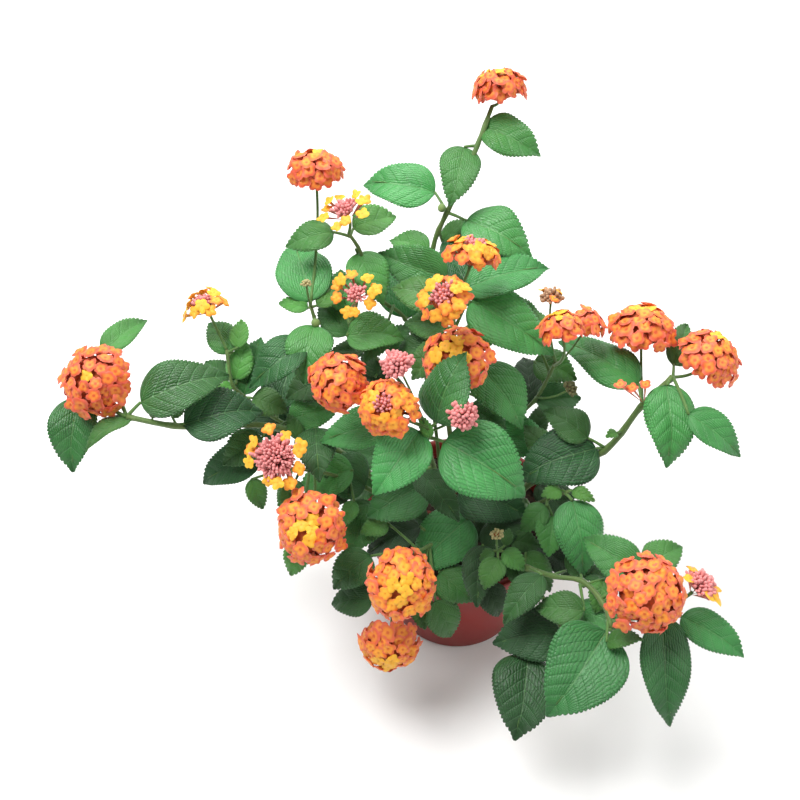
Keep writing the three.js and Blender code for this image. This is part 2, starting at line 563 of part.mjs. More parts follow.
// A leaf: a blade folded along its midrib and arched to its tip, with toothed edges, on a stalk
// whose end lies in the stem. Each row of points comes in pairs, upper and under.
function leafGeometry(root, { stalk, blade, wide, roll = 0 }) {
  const stalkAim = aimOf([stalk[1], stalk[2]]);
  const base = root.clone().addScaledVector(stalkAim, stalk[0]);
  const length = blade[0];
  const { along, left, face } = bladeFrame(blade, roll);
  const teeth = TEETH.find(([longest]) => length <= longest)[1];
  const points = [];
  const faces = [];
  const pair = (share, across, rise, thick) => {
    const height = 4 * LEAF.arch * length * share * (1 - share) + rise;
    return [0.5, -0.5].map((side) => {
      const p = base.clone().addScaledVector(along, share * length).addScaledVector(left, across);
      return points.push(p.addScaledVector(face, height + side * thick)) - 1;
    });
  };
  const rib = [];
  for (let j = 0; j < teeth; j++) rib.push(pair(j / teeth, 0, 0, LEAF.ribThick));
  const tip = pair(1, 0, 0, LEAF.thick);
  rib.push(tip);
  const edges = [1, -1].map((side) => {
    const [start] = pair(0, (side * LEAF.stalkWide) / 2, 0, 0);
    const row = [[start, start]];
    for (let k = 1; k < 2 * teeth; k++) {
      const tooth = k % 2 === 1;
      const share = (k - LEAF.start) / (2 * teeth) + (tooth ? LEAF.reach / teeth : 0);
      const half = (wide / 2) * outline(share) * (tooth ? 1 : 1 - LEAF.notch);
      row.push(pair(share, side * half * Math.cos(LEAF.fold), LEAF.fold * half, LEAF.thick));
    }
    row.push(tip);
    return row;
  });
  const triangle = (a, b, c, turned) => faces.push(turned ? [a, c, b] : [a, b, c]);
  edges.forEach((edge, right) => {
    for (const under of [0, 1]) {
      const turned = (right + under) % 2 === 1;
      for (let j = 0; j < teeth; j++) {
        const [near, far] = [rib[j][under], rib[j + 1][under]];
        const [a, b, c] = [0, 1, 2].map((i) => edge[2 * j + i][under]);
        triangle(near, b, a, turned);
        triangle(near, far, b, turned);
        if (c !== far) triangle(far, c, b, turned);
      }
    }
    for (let k = 0; k < 2 * teeth; k++) {
      const [a, b] = [edge[k], edge[k + 1]];
      triangle(a[0], b[0], b[1], right === 1);
      if (k > 0) triangle(a[0], b[1], a[1], right === 1);
    }
  });
  const collar = [edges[0][0][0], rib[0][0], edges[1][0][0], rib[0][1]];
  const stalkLeft = new THREE.Vector3().crossVectors(UP, stalkAim).normalize();
  const stalkUp = new THREE.Vector3().crossVectors(stalkAim, stalkLeft);
  const foot = [[1, 0], [0, 1], [-1, 0], [0, -1]].map(([across, rise]) => {
    const p = root.clone().addScaledVector(stalkLeft, (across * LEAF.stalkWide) / 2);
    return points.push(p.addScaledVector(stalkUp, (rise * LEAF.ribThick) / 2)) - 1;
  });
  collar.forEach((a, i) => {
    const next = (i + 1) % collar.length;
    faces.push([a, foot[i], foot[next]], [a, foot[next], collar[next]]);
  });
  for (let i = 1; i < foot.length - 1; i++) faces.push([foot[0], foot[i + 1], foot[i]]);
  return geometryFrom(points, faces);
}

// The stalk of a head leaves its stem and turns into the head's axis, and ends just under it
function headStalk(root, { centre, axis, wide }) {
  const aim = aimOf(axis);
  const end = point(centre).addScaledVector(aim, -(HEAD.core * HEAD.under * wide) / 2 - GAP);
  const middle = end.clone().addScaledVector(aim, -STALK.sweep * end.distanceTo(root));
  return new THREE.QuadraticBezierCurve3(root, middle, end);
}

function leafyStemSolid({ thick, path, leaves, heads }) {
  let stem = solidOf(rodGeometry(stemCurve(path), thick, STEM_STEPS));
  for (const leaf of leaves) stem = stem.add(solidOf(leafGeometry(stemPoint(path, leaf.at), leaf)));
  for (const head of Object.values(heads)) {
    const stalk = headStalk(stemPoint(path, head.at), head);
    stem = stem.add(solidOf(rodGeometry(stalk, STALK.thick, STALK.steps, STALK.sides)));
  }
  return stem.simplify(MERGE);
}

// The sphere shared out among evenly spread directions: each cell's direction and its corners
function sphereCells(count, seed) {
  const random = seededRandom(seed);
  const golden = Math.PI * (3 - Math.sqrt(5));
  const aims = [];
  for (let i = 0; i < count; i++) {
    const z = 1 - (2 * i + 1) / count;
    const r = Math.sqrt(1 - z * z);
    const turn = golden * i + (0.5 * (random() - 0.5)) / Math.sqrt(count) / Math.max(r, 0.3);
    aims.push(new THREE.Vector3(r * Math.cos(turn), r * Math.sin(turn), z));
  }
  const hull = new ConvexHull().setFromPoints(aims);
  const corners = hull.faces.map((face) => face.normal.clone().normalize());
  const touches = (face, aim) => {
    const ends = [face.edge, face.edge.next, face.edge.prev];
    return ends.some((edge) => edge.head().point.distanceToSquared(aim) < 1e-12);
  };
  const cells = aims.map((aim) => {
    const side = new THREE.Vector3(0, 1, 0).cross(aim).normalize();
    const other = new THREE.Vector3().crossVectors(aim, side);
    const angle = (i) => Math.atan2(corners[i].dot(other), corners[i].dot(side));
    const ring = [...corners.keys()].filter((i) => touches(hull.faces[i], aim));
    ring.sort((a, b) => angle(a) - angle(b));
    return { aim, ring };
  });
  return { corners, cells };
}

// A head, its axis up: a core whose cells rise as florets, flared cups with a sunk throat, or as
// pointed buds, and stay flat underneath and where a cluster of buds sits
function headGeometry({ wide, kind }) {
  const { cells: count, flatTo, budsTo } = KINDS[kind];
  const { corners, cells } = sphereCells(count, HEAD.seed);
  const radius = wide / 2;
  const points = corners.map((corner) => corner.clone().multiplyScalar(HEAD.core * radius));
  const faces = [];
  const add = (aim, share) => points.push(aim.clone().multiplyScalar(share * radius)) - 1;
  for (const { aim, ring } of cells) {
    const fromTop = THREE.MathUtils.radToDeg(Math.acos(aim.z));
    const next = (i) => (i + 1) % ring.length;
    if (fromTop > HEAD.bare || fromTop < flatTo) {
      for (let i = 1; i < ring.length - 1; i++) faces.push([ring[0], ring[i], ring[i + 1]]);
    } else if (fromTop < budsTo) {
      const tip = add(aim, HEAD.bud);
      ring.forEach((corner, i) => faces.push([corner, ring[next(i)], tip]));
    } else {
      const throat = add(aim, HEAD.throat);
      const rim = ring.map((i) => add(aim.clone().lerp(corners[i], HEAD.flare).normalize(), 1));
      ring.forEach((corner, i) => {
        const j = next(i);
        faces.push([corner, ring[j], rim[j]], [corner, rim[j], rim[i]], [rim[i], rim[j], throat]);
      });
    }
  }
  for (const p of points) p.z *= p.z > 0 ? HEAD.dome : HEAD.under;
  return geometryFrom(points, faces);
}

function headMesh(name, head) {
  const mesh = meshOf(name, headGeometry(head), head.kind);
  mesh.quaternion.setFromUnitVectors(UP, aimOf(head.axis));
  mesh.position.copy(point(head.centre));
  return mesh;
}

// The bud cluster rests just clear of the flat middle of its ring of florets
function clusterMesh(name, { wide, centre, axis }) {
  const own = CLUSTER.wide * wide;
  const middle = (HEAD.core * HEAD.dome * wide) / 2 - CLUSTER.sunk * wide;
  const rise = middle + (HEAD.bud * HEAD.under * own) / 2 + GAP;
  const seat = point(centre).addScaledVector(aimOf(axis), rise);
  return headMesh(name, { wide: own, centre: seat.toArray(), axis, kind: "cluster" });
}

function lantana() {
  const plant = new THREE.Group();
  plant.add(meshOf("pot", geometryOf(potSolid()), "pot"));
  plant.add(meshOf("soil", geometryOf(soilSolid()), "soil"));
  for (const [name, stem] of Object.entries(PLANT)) {
    plant.add(meshOf("stem_" + name, geometryOf(leafyStemSolid(stem)), "green"));
    for (const [headName, head] of Object.entries(stem.heads)) {
      plant.add(headMesh(headName, head));
      if (head.kind === "ring") plant.add(clusterMesh(headName.replace("head", "cluster"), head));
    }
  }
  return plant;
}

export default lantana();
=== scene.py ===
"""A potted lantana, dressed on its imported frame: leaves, stems, flower heads, pot and soil."""

import math
import random
from collections import namedtuple

import bmesh
import bpy
from mathutils import Matrix, Quaternion, Vector, noise


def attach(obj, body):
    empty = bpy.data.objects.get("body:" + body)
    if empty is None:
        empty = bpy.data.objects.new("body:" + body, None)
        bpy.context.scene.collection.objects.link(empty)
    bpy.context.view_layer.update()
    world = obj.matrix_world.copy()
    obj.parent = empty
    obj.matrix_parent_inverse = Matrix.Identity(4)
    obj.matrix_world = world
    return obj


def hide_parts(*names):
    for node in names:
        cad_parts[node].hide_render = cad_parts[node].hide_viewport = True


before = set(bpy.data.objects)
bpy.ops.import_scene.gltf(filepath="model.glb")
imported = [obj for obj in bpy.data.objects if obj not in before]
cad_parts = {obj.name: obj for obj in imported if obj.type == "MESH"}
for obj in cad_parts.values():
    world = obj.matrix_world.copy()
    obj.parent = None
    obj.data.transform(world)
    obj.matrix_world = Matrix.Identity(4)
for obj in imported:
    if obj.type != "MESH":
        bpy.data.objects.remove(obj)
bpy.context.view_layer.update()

bl_info = {
    "name": "Potted lantana",
    "version": (1, 0, 0),
    "blender": (4, 5, 0),
    "location": "3D View > Sidebar > Lantana",
    "description": "Builds a lantana with its leaves, flower heads, pot and soil",
    "category": "Object",
}

MM = 0.001
FULL_TURN = 2 * math.pi
GOLDEN = math.pi * (3 - math.sqrt(5))
UP = Vector((0, 0, 1))
DOUBLES = 1e-4

# The pot's turned wall, foot first, as (radius, height) in mm, and its drain holes
POT_WALL = [
    (9, 0), (10, 1.4), (18.5, 1.4), (22, 1.4), (25.5, 1.4), (32, 1.4), (33, 0), (38.6, 0),
    (39.6, 0.5), (40, 1.6), (45.7, 38.8), (51.3, 75.2), (51.6, 76), (52.2, 76.6), (54.9, 76.9),
    (55.5, 77.4), (55.9, 81.6), (55.7, 83), (54.9, 83.9), (53.8, 84.1), (52.4, 83.7),
    (51.4, 82.6), (50.2, 77), (44.6, 40), (39.6, 4.6), (38.6, 3.6), (25.5, 3.6), (22, 3.6),
    (18.5, 3.6), (9, 3.6),
]
POT_STEPS = 96
DRAIN_COUNT = 4
DRAIN_RADIUS = 3.5
DRAIN_RING = 22
DRAIN_FACETS = 2  # of the pot's turn, to each side of a hole's middle
DRAIN_BELOW = 4  # the holes go through what lies below this height

# The soil: its top, the rise of its mound, where its brim and its foot (radius, height) meet the
# pot, and how many crumbs and fallen florets lie on it
SOIL_TOP = 74
SOIL_MOUND = 2.5
SOIL_BRIM = 49.2
SOIL_FOOT = (38.2, 4)
SOIL_RINGS = 30
SOIL_STEPS = 96
CRUMBS = 420
FALLEN = 26

# Proportions of the solids, which the finer pieces keep
STEM_STEPS = 7
LEAF_FOLD = 0.3
LEAF_ARCH = 0.09
HEAD_CORE = 0.62
HEAD_DOME = 0.85
HEAD_UNDER = 0.5
STALK_SWEEP = 0.45

# Fineness of the curves and rods, and the ribs under the leaves and the hairs
CURVE_PARTS = 16
STEM_RINGS = 44
STALK_RINGS = 14
LEAF_STALK_RINGS = 6
RIB_RINGS = 10
RIB_DEPTH = 1.1
HAIRS_A_MM = 1.1
HAIR_THICK = 0.13

# Leaf blades, in mm where they aren't a share of something
TOOTH_ROWS = 4  # rows of the grid for each tooth
TOOTH_SHAPE = (0.0, 0.7, 1.0, 0.92)  # how far the tooth stands out at each of them
TOOTH_DEPTH = 0.6
TOOTH_LEAN = 0.35  # how far a tooth leans to the tip, over its own length
QUILT = 0.006  # height of the quilting, over the length of the blade
VEIN_SPACING = 6.6
COLUMN_WIDE = 4.2  # room of a pair of the grid's columns
FEWEST, MOST = 4, 9  # of the veins, and of the pairs of columns
LADDER = 11  # rungs of small veins from the midrib to the edge
YOUNG_LENGTH = 42  # a blade as long as this is full-grown
TIP_AT, TIP_SPAN, TIP_DRAWN = 0.93, 0.07, 0.22  # where and how much the tip is drawn in
WAVE = 0.035  # waviness of the edge, over the length of the blade
GROOVE_DEPTH, GROOVE_WIDE = 0.45, 1.1  # of the groove along the midrib

# Painted shade among the leaves: how far above and how near over its length another leaf darkens
# one, what light it lets through, and how dark the foot of the bush is painted, up to a height
SHADE_GAP = 7
SHADE_REACH = 0.36
SHADE_LEFT = 0.52
LOW_SHADE = 0.7
LOW_TOP = 190
SUNLIT_SHADE = 0.2
DARK_SHADE = 0.28

# Florets and buds turned from a profile of (radius, height), 1 wide and 1 high with the tube,
# and how their lobes, corners and tubes shape them
FLORET_PROFILE = [(0, -0.1), (0.26, 0.03), (0.5, -0.05), (0.12, -0.17), (0, -1)]
LOBE_STEPS = 4
LOBE_NOTCH = 0.28
LOBE_WAVE = 0.1
LOBE_UNEVEN = 0.18
NOTCH_DROP = 0.07
BUD_PROFILE = [(0, 0.3), (0.34, 0.2), (0.48, -0.02), (0.34, -0.4), (0, -1)]
BUD_SIDES = 8
BUD_CORNERS = 0.14
TUBE_TOP = -0.2
TUBE_THINS = 0.4
FLORET_KINDS = ((4, 1), (4, 2), (5, 3), (5, 4), (4, 5))  # number of lobes and seed

# How florets and buds fill a head: the room of a floret over its width, the age of the first
# fresh one, how lumpy heads and bunches are, and where in the head the tubes spring from
FLORET_PITCH = 0.7
FRESH_AGE = 0.08
HEAD_LUMPS = 0.18
BUNCH_LUMPS = 0.3
TUBE_FOOT = 0.12
FULL_FOOT = -0.1
RING_FOOT = -0.35
BUNCH_FOOT = -0.2
FULL_ZONE = (0, 108)
FULL_UPRIGHT = 0.25
FULL_HEART = 0.73
FULL_WIDE = 34  # the florets of a narrower head are smaller

# The lights, as name, place and size in metres and share of the key light, and the camera
LIGHTS = (("key light", (-0.7, 0.1, 1.9), 1.1, 1.0), ("side light", (1.5, -0.6, 1.2), 1.2, 0.3),
          ("back light", (0.3, 1.7, 1.5), 1.4, 0.6))
LIT_SPOT = Vector((0, 0, 0.15))
CAMERA_SPOT = (-0.0347, -0.4060, 0.6125)
CAMERA_TILT = 43
SENSOR = 36


def leaf(at, stalk, blade, wide, roll=0):
    """A leaf leaves its stem at a share of its length: stalk and blade are (length, heading, lift)."""
    return {"at": at, "stalk": stalk, "blade": blade, "wide": wide, "roll": roll}


def head(at, centre, wide, axis, kind):
    """A flower head on its stalk: its middle, its width and the heading and lift of its axis."""
    return {"at": at, "centre": centre, "wide": wide, "axis": axis, "kind": kind}


def leafy_stem(thick, path, leaves, **heads):
    """A stem up from the soil, by points in mm, with its leaves and its heads by name."""
    return {"thick": thick, "path": path, "leaves": leaves, "heads": heads}


PLANT = {
    "back": leafy_stem(
        thick=3.6,
        path=[(2, 20, 58), (-9, 35, 140), (-17, 84, 205), (-10, 89, 228), (-2, 91, 246),
              (6, 104, 262), (14, 122, 274)],
        leaves=[
            leaf(0.95, (1, 95, 25), (34, 334, -12), 26, 20),
            leaf(0.91, (7, 171, -11), (35, 255, -25), 23, -5),
            leaf(0.75, (14, 119, 20), (41, 165, 0), 29, -20),
            leaf(0.75, (14, 314, 10), (40, 329, -8), 32, 15),
            leaf(0.65, (7, 37, 9), (23, 15, 0), 20, 20),
            leaf(0.65, (5, 157, 8), (23, 158, 5), 20, -20),
            leaf(0.7, (9, 59, -68), (20, 27, 31), 12),
        ],
        head_back=head(1, (17, 123, 283), 28, (100, 60), "full"),
    ),
    "back_left": leafy_stem(
        thick=2.6,
        path=[(-8, 18, 58), (-17, 44, 130), (-33, 52, 188), (-45, 52, 200), (-56, 56, 232),
              (-61, 58, 240)],
        leaves=[
            leaf(0.99, (9, 168, 9), (26, 187, -15), 19, -20),
            leaf(0.99, (6, 75, 9), (24, 21, 5), 19, 20),
            leaf(0.95, (3, 16, -78), (30, 301, -29), 23, 10),
            leaf(0.68, (3, 36, 18), (40, 98, 10), 30, -5),
            leaf(0.74, (12, 257, -1), (26, 239, -20), 19, -10),
        ],
        head_left_back=head(1, (-62, 58, 254), 25, (200, 70), "ring"),
    ),
    "left_back": leafy_stem(
        thick=2.6,
        path=[(-15, 12, 58), (-35, 22, 120), (-61, 25, 158), (-77, 28, 200), (-81, 35, 212)],
        leaves=[
            leaf(1, (2, 79, 27), (42, 105, 8), 31, -5),
            leaf(0.99, (2, 199, 5), (16, 165, 0), 11, -20),
            leaf(0.99, (3, 17, 8), (17, 36, 5), 11, 15),
            leaf(0.96, (7, 273, 0), (31, 259, -30), 26, -5),
            leaf(0.93, (15, 243, 0), (36, 213, -22), 24, -15),
            leaf(0.69, (8, 170, 4), (27, 204, -5), 23, -20),
            leaf(0.34, (11, 226, -44), (35, 169, 16), 22),
        ],
        head_back_left=head(1, (-78, 81, 262), 28, (100, 75), "full"),
        head_left_orange=head(0.61, (-65, -14, 205), 29, (260, 55), "full"),
        buds_tiny=head(0.99, (-82, 33, 228), 6, (100, 70), "cream"),
    ),
    "mid_left": leafy_stem(
        thick=2.4,
        path=[(-8, 8, 58), (-28, 35, 140), (-50, 32, 180), (-61, 32, 200)],
        leaves=[
            leaf(0.99, (7, 253, 0), (30, 359, 0), 24, 15),
            leaf(0.86, (7, 1, 9), (22, 48, 10), 14, 15),
            leaf(1, (8, 106, 20), (28, 98, 15), 17, -5),
            leaf(0.77, (11, 245, 10), (20, 110, 0), 12, -5),
            leaf(0.65, (7, 191, 10), (24, 152, -5), 19, -20),
            leaf(0.59, (7, 208, 5), (19, 222, 8), 14, -15),
            leaf(0.98, (3, 230, -39), (25, 134, 12), 20, -15),
            leaf(0.86, (4, 159, -1), (19, 174, -10), 14, -20),
        ],
        head_mid_left=head(1, (-57, 29, 224), 22, (260, 60), "ring"),
    ),
    "left_high": leafy_stem(
        thick=2.4,
        path=[(-22, 8, 58), (-66, 11, 120), (-100, 10, 150), (-117, 9, 170), (-122, 9, 178),
              (-125, 22, 192)],
        leaves=[
            leaf(0.98, (3, 46, 19), (24, 127, 10), 18, -10),
            leaf(0.99, (6, 19, 20), (17, 87, 19), 11),
            leaf(0.89, (2, 105, 29), (21, 73, 35), 15, 5),
            leaf(0.89, (2, 229, 8), (10, 204, -1), 7, -20),
            leaf(0.84, (1, 69, 17), (34, 76, 25), 18, 5),
            leaf(0.83, (4, 348, 10), (20, 342, -10), 17, 20),
            leaf(0.86, (10, 123, 9), (20, 138, 0), 13, -15),
            leaf(0.7, (7, 83, 0), (36, 83, 3), 25),
            leaf(0.6, (3, 162, 0), (39, 155, -9), 27),
        ],
        head_left_yellow=head(1, (-135, 34, 212), 22, (150, 70), "ring"),
    ),
    "left": leafy_stem(
        thick=4,
        path=[(-23, -1, 58), (-57, 5, 118), (-100, -2, 158), (-147, -19, 178), (-172, -18, 184)],
        leaves=[
            leaf(1, (44, 114, 8), (31, 50, 4), 16, 15),
            leaf(1, (32, 151, -5), (38, 265, -39), 26, -5),
            leaf(1, (2, 340, -7), (28, 212, -15), 15, 15),
            leaf(1, (10, 43, 24), (46, 17, 8), 31, 20),
            leaf(0.88, (4, 4, 8), (41, 18, -6), 30, 20),
            leaf(0.88, (6, 120, 10), (7, 29, 9), 6, 15),
            leaf(0.62, (13, 58, -20), (28, 15, 7), 23, 20),
            leaf(0.64, (7, 247, -1), (25, 207, -20), 20, -20),
            leaf(0.55, (6, 281, 25), (15, 119, 29), 9, -10),
            leaf(0.52, (11, 344, 64), (36, 276, 3), 24),
            leaf(0.31, (12, 344, -44), (23, 186, -38), 15),
        ],
        head_left=head(1, (-188, -3, 194), 37, (240, 55), "full"),
    ),
    "left_front": leafy_stem(
        thick=2.6,
        path=[(-18, -10, 58), (-38, -9, 100), (-65, -10, 125), (-85, -16, 140), (-94, -22, 148)],
        leaves=[
            leaf(0.99, (17, 147, 0), (39, 188, -25), 24, -20),
            leaf(0.98, (21, 191, -10), (18, 302, -55), 12, 10),
            leaf(0.97, (10, 266, -1), (12, 247, -31), 7, -10),
            leaf(0.68, (7, 34, 39), (32, 187, -18), 26, -20),
            leaf(0.87, (40, 265, -20), (18, 246, -40), 15, -10),
            leaf(0.65, (14, 281, 0), (14, 243, -31), 10, -10),
            leaf(0.54, (4, 187, 63), (29, 165, 25), 29, -15),
            leaf(0.45, (6, 219, -6), (32, 239, -15), 27, -10),
            leaf(0.6, (6, 235, 0), (24, 168, -15), 18, -20),
            leaf(0.92, (9, 186, -69), (24, 254, 5), 15),
        ],
        head_left_buds=head(1, (-97, -31, 168), 30, (250, 55), "ring"),
        head_left_low=head(0.84, (-80, -56, 142), 35, (265, 50), "full"),
    ),
    "front": leafy_stem(
        thick=2.6,
        path=[(-8, -18, 58), (-12, -27, 92), (-24, -41, 102), (-37, -47, 108)],
        leaves=[
            leaf(0.96, (16, 185, -5), (27, 212, -25), 23, -15),
            leaf(0.92, (30, 229, -30), (26, 171, -25), 21, -20),
            leaf(0.8, (22, 143, 20), (16, 206, 0), 13, -20),
            leaf(0.51, (19, 269, -10), (24, 324, -18), 23, 20),
            leaf(0.67, (30, 277, -30), (25, 310, -55), 21, 15),
            leaf(0.44, (21, 20, 44), (42, 219, -21), 34, -15),
            leaf(0.51, (13, 122, 19), (21, 164, 0), 18, -20),
            leaf(0.69, (26, 258, -35), (20, 283, -45), 14, 5),
            leaf(0.56, (14, 163, 44), (35, 196, -24), 23),
        ],
        head_front=head(0.96, (-34, -73, 116), 36, (265, 45), "full"),
        head_front_low=head(1, (-41, -75, 64), 35, (262, -5), "full"),
    ),
    "front_right": leafy_stem(
        thick=2.2,
        path=[(5, -20, 58), (8, -34, 92), (17, -49, 112)],
        leaves=[
            leaf(0.57, (17, 96, 29), (16, 305, -21), 14, 10),
            leaf(1, (4, 271, -8), (18, 241, -30), 15, -10),
            leaf(1, (3, 3, 2), (15, 323, -20), 12, 15),
            leaf(1, (2, 175, 4), (9, 209, -16), 7, -15),
            leaf(0.75, (19, 271, -20), (21, 307, -51), 18, 10),
            leaf(1, (5, 36, 17), (10, 71, 19), 7, 5),
            leaf(0.75, (15, 15, 15), (17, 354, -11), 14, 20),
            leaf(0.7, (11, 263, 67), (33, 263, -25), 20),
            leaf(0.6, (11, 296, 63), (30, 38, 4), 20),
        ],
        buds_cream=head(1, (16, -47, 124), 8, (90, 70), "cream"),
    ),
    "right_low": leafy_stem(
        thick=3.6,
        path=[(14, -15, 58), (22, -45, 98), (46, -62, 108), (60, -68, 112), (70, -84, 112),
              (72, -95, 110)],
        leaves=[
            leaf(1, (3, 205, -8), (52, 230, -20), 43, -15),
            leaf(0.97, (26, 3, 5), (55, 276, -38), 27),
            leaf(0.95, (38, 1, 0), (36, 328, -12), 21, 15),
            leaf(0.87, (24, 22, 28), (34, 144, 8), 23, -30),
            leaf(0.89, (29, 33, 25), (23, 26, 12), 20, 20),
            leaf(0.77, (12, 12, 10), (18, 252, -35), 14, -5),
            leaf(0.76, (16, 272, -1), (26, 165, -15), 19, -20),
            leaf(0.5, (8, 80, 19), (25, 311, -35), 16, 15),
            leaf(0.43, (2, 129, 5), (21, 314, -35), 13, 15),
            leaf(0.64, (12, 41, -30), (18, 24, 15), 16, 15),
            leaf(0.52, (16, 296, 39), (32, 226, -26), 19),
            leaf(0.78, (18, 88, -27), (20, 349, -18), 12),
            leaf(0.96, (13, 260, 0), (19, 345, 32), 13),
        ],
        head_low_right=head(1, (85, -94, 140), 38, (280, 50), "full"),
        head_low_pink=head(0.9, (113, -85, 132), 22, (20, 50), "ring"),
    ),
    "right_low_side": leafy_stem(
        thick=2.4,
        path=[(20, -10, 58), (33, -38, 88), (44, -58, 80), (52, -82, 84)],
        leaves=[
            leaf(1, (2, 172, 7), (36, 186, -6), 31, -20),
            leaf(0.95, (23, 218, -11), (44, 258, -20), 37, -5),
            leaf(1, (5, 2, 18), (18, 58, 30), 11, 10),
            leaf(0.96, (12, 45, 59), (34, 328, 17), 21),
        ],
    ),
    "right_mid": leafy_stem(
        thick=2.4,
        path=[(22, -2, 58), (36, -20, 112), (54, -29, 138)],
        leaves=[
            leaf(0.98, (3, 157, 13), (12, 204, 5), 10, -20),
            leaf(1, (2, 15, 14), (13, 328, 0), 9, 15),
            leaf(0.97, (6, 304, -5), (41, 283, -45), 28, 5),
            leaf(0.82, (5, 256, 0), (19, 215, -25), 15, -15),
            leaf(0.65, (11, 97, -28), (19, 209, 20), 13, -20),
            leaf(0.8, (10, 288, -6), (22, 261, -25), 19, -5),
            leaf(0.63, (21, 278, -61), (35, 317, 3), 23),
        ],
    ),
    "right": leafy_stem(
        thick=4.2,
        path=[(20, 6, 58), (40, -5, 118), (74, -8, 146), (91, -2, 176), (105, 4, 190)],
        leaves=[
            leaf(0.87, (12, 97, 25), (49, 144, 6), 27, -15),
            leaf(1, (7, 235, 0), (42, 270, -38), 28),
            leaf(1, (26, 278, 0), (34, 331, -25), 21, 15),
            leaf(1, (14, 76, -17), (26, 67, 19), 19, 25),
            leaf(0.66, (3, 170, 3), (45, 198, -12), 36, -20),
            leaf(0.67, (10, 157, 20), (28, 149, 14), 21, -15),
            leaf(0.76, (5, 219, 19), (8, 216, 15), 6, -15),
            leaf(0.5, (6, 150, 19), (26, 126, 21), 19, -10),
            leaf(0.38, (3, 303, 0), (34, 309, -10), 21),
        ],
        head_right_orange=head(0.87, (91, 28, 200), 34, (100, 70), "full"),
        head_right=head(1, (122, 9, 198), 34, (20, 60), "full"),
    ),
    "right_back": leafy_stem(
        thick=2.6,
        path=[(14, 14, 58), (24, 21, 130), (39, 21, 155), (47, 20, 185)],
        leaves=[
            leaf(0.76, (2, 333, -5), (25, 7, 0), 21, 20),
            leaf(0.86, (15, 110, 20), (25, 338, -12), 21, 20),
            leaf(1, (14, 114, 25), (20, 114, 15), 13, -10),
            leaf(0.93, (26, 114, 25), (26, 119, 15), 19, -10),
            leaf(0.68, (5, 45, 14), (37, 91, 5), 21),
            leaf(0.55, (9, 223, 10), (33, 356, -6), 27, 20),
            leaf(0.62, (4, 151, 14), (19, 121, 5), 16, -10),
            leaf(0.56, (18, 2, -26), (21, 67, 29), 13),
        ],
        head_right_seed=head(1, (42, 29, 222), 13, (80, 70), "seed"),
        head_right_back=head(0.98, (46, 14, 214), 23, (120, 55), "full"),
        head_right_red=head(0.95, (62, 27, 206), 18, (40, 60), "full"),
        spent_right=head(0.78, (55, 13, 172), 10, (10, 40), "spent"),
    ),
    "centre_back": leafy_stem(
        thick=3,
        path=[(5, 8, 58), (1, 14, 130), (-5, 19, 172), (-7, 27, 205), (-8, 33, 220)],
        leaves=[
            leaf(0.93, (16, 64, 25), (47, 18, 5), 28, 10),
            leaf(0.92, (14, 48, 14), (51, 332, -17), 34, 20),
            leaf(0.99, (12, 104, 19), (39, 156, 5), 26, -55),
            leaf(0.85, (6, 238, 5), (26, 219, -18), 20, -15),
            leaf(0.87, (4, 11, 10), (17, 350, -20), 14, 20),
            leaf(0.73, (13, 9, 10), (40, 308, -25), 30, 10),
            leaf(0.66, (19, 324, 5), (20, 358, -15), 16, 20),
            leaf(0.99, (8, 208, 15), (26, 161, 5), 22, -20),
            leaf(0.83, (9, 340, 20), (23, 45, 10), 18, 15),
            leaf(0.89, (4, 186, 9), (23, 163, -5), 20, -20),
            leaf(0.83, (8, 189, 4), (25, 178, -15), 20, -20),
            leaf(0.62, (9, 304, 4), (23, 336, -15), 18, 20),
            leaf(0.88, (20, 61, 30), (37, 113, 16), 23),
        ],
        head_centre_back=head(1, (1, 30, 248), 26, (60, 60), "ring"),
        head_centre_high=head(0.97, (-13, 6, 242), 24, (230, 60), "ring"),
        head_centre=head(0.64, (-6, 3, 203), 35, (230, 65), "full"),
    ),
    "centre": leafy_stem(
        thick=3.2,
        path=[(-4, -4, 58), (-11, -3, 100), (-17, -15, 143), (-21, -25, 174), (-21, -29, 188)],
        leaves=[
            leaf(0.98, (6, 15, 45), (38, 58, 50), 32, -20),
            leaf(0.92, (9, 336, 4), (49, 334, -20), 42, 20),
            leaf(0.98, (4, 190, 4), (39, 230, -25), 30, -15),
            leaf(0.97, (5, 283, 9), (12, 113, 24), 7, -10),
            leaf(0.51, (9, 220, 10), (36, 206, -15), 31, -20),
            leaf(0.4, (13, 329, 24), (40, 342, -8), 32, 20),
            leaf(0.78, (28, 155, 20), (34, 193, -8), 25, -20),
            leaf(0.6, (9, 174, 10), (16, 181, -10), 14, -20),
            leaf(0.46, (9, 14, 15), (24, 359, -10), 20, 20),
            leaf(0.63, (9, 210, 0), (34, 308, -10), 21),
        ],
        head_centre_yellow=head(1, (-41, -31, 205), 28, (250, 60), "ring"),
        buds_centre=head(0.98, (-36, -19, 222), 15, (200, 70), "buds"),
        buds_right=head(0.96, (-4, -31, 200), 15, (300, 60), "buds"),
    ),
}

# A head's florets: the first and the last angle from its axis in degrees, their ages there, from
# 0 for fresh yellow to 1 for old red, how many there are or 0 for as many as fit, their size over
# a full one's, how upright they stand, and the size of the heart that carries them
Bloom = namedtuple("Bloom", "first last young old florets size upright heart")

# A head's buds: the last angle from its axis, their width in mm, their reach over the head's own,
# their height over their width, and the room that each one takes over its width
Bunch = namedtuple("Bunch", "last width reach tall pitch")

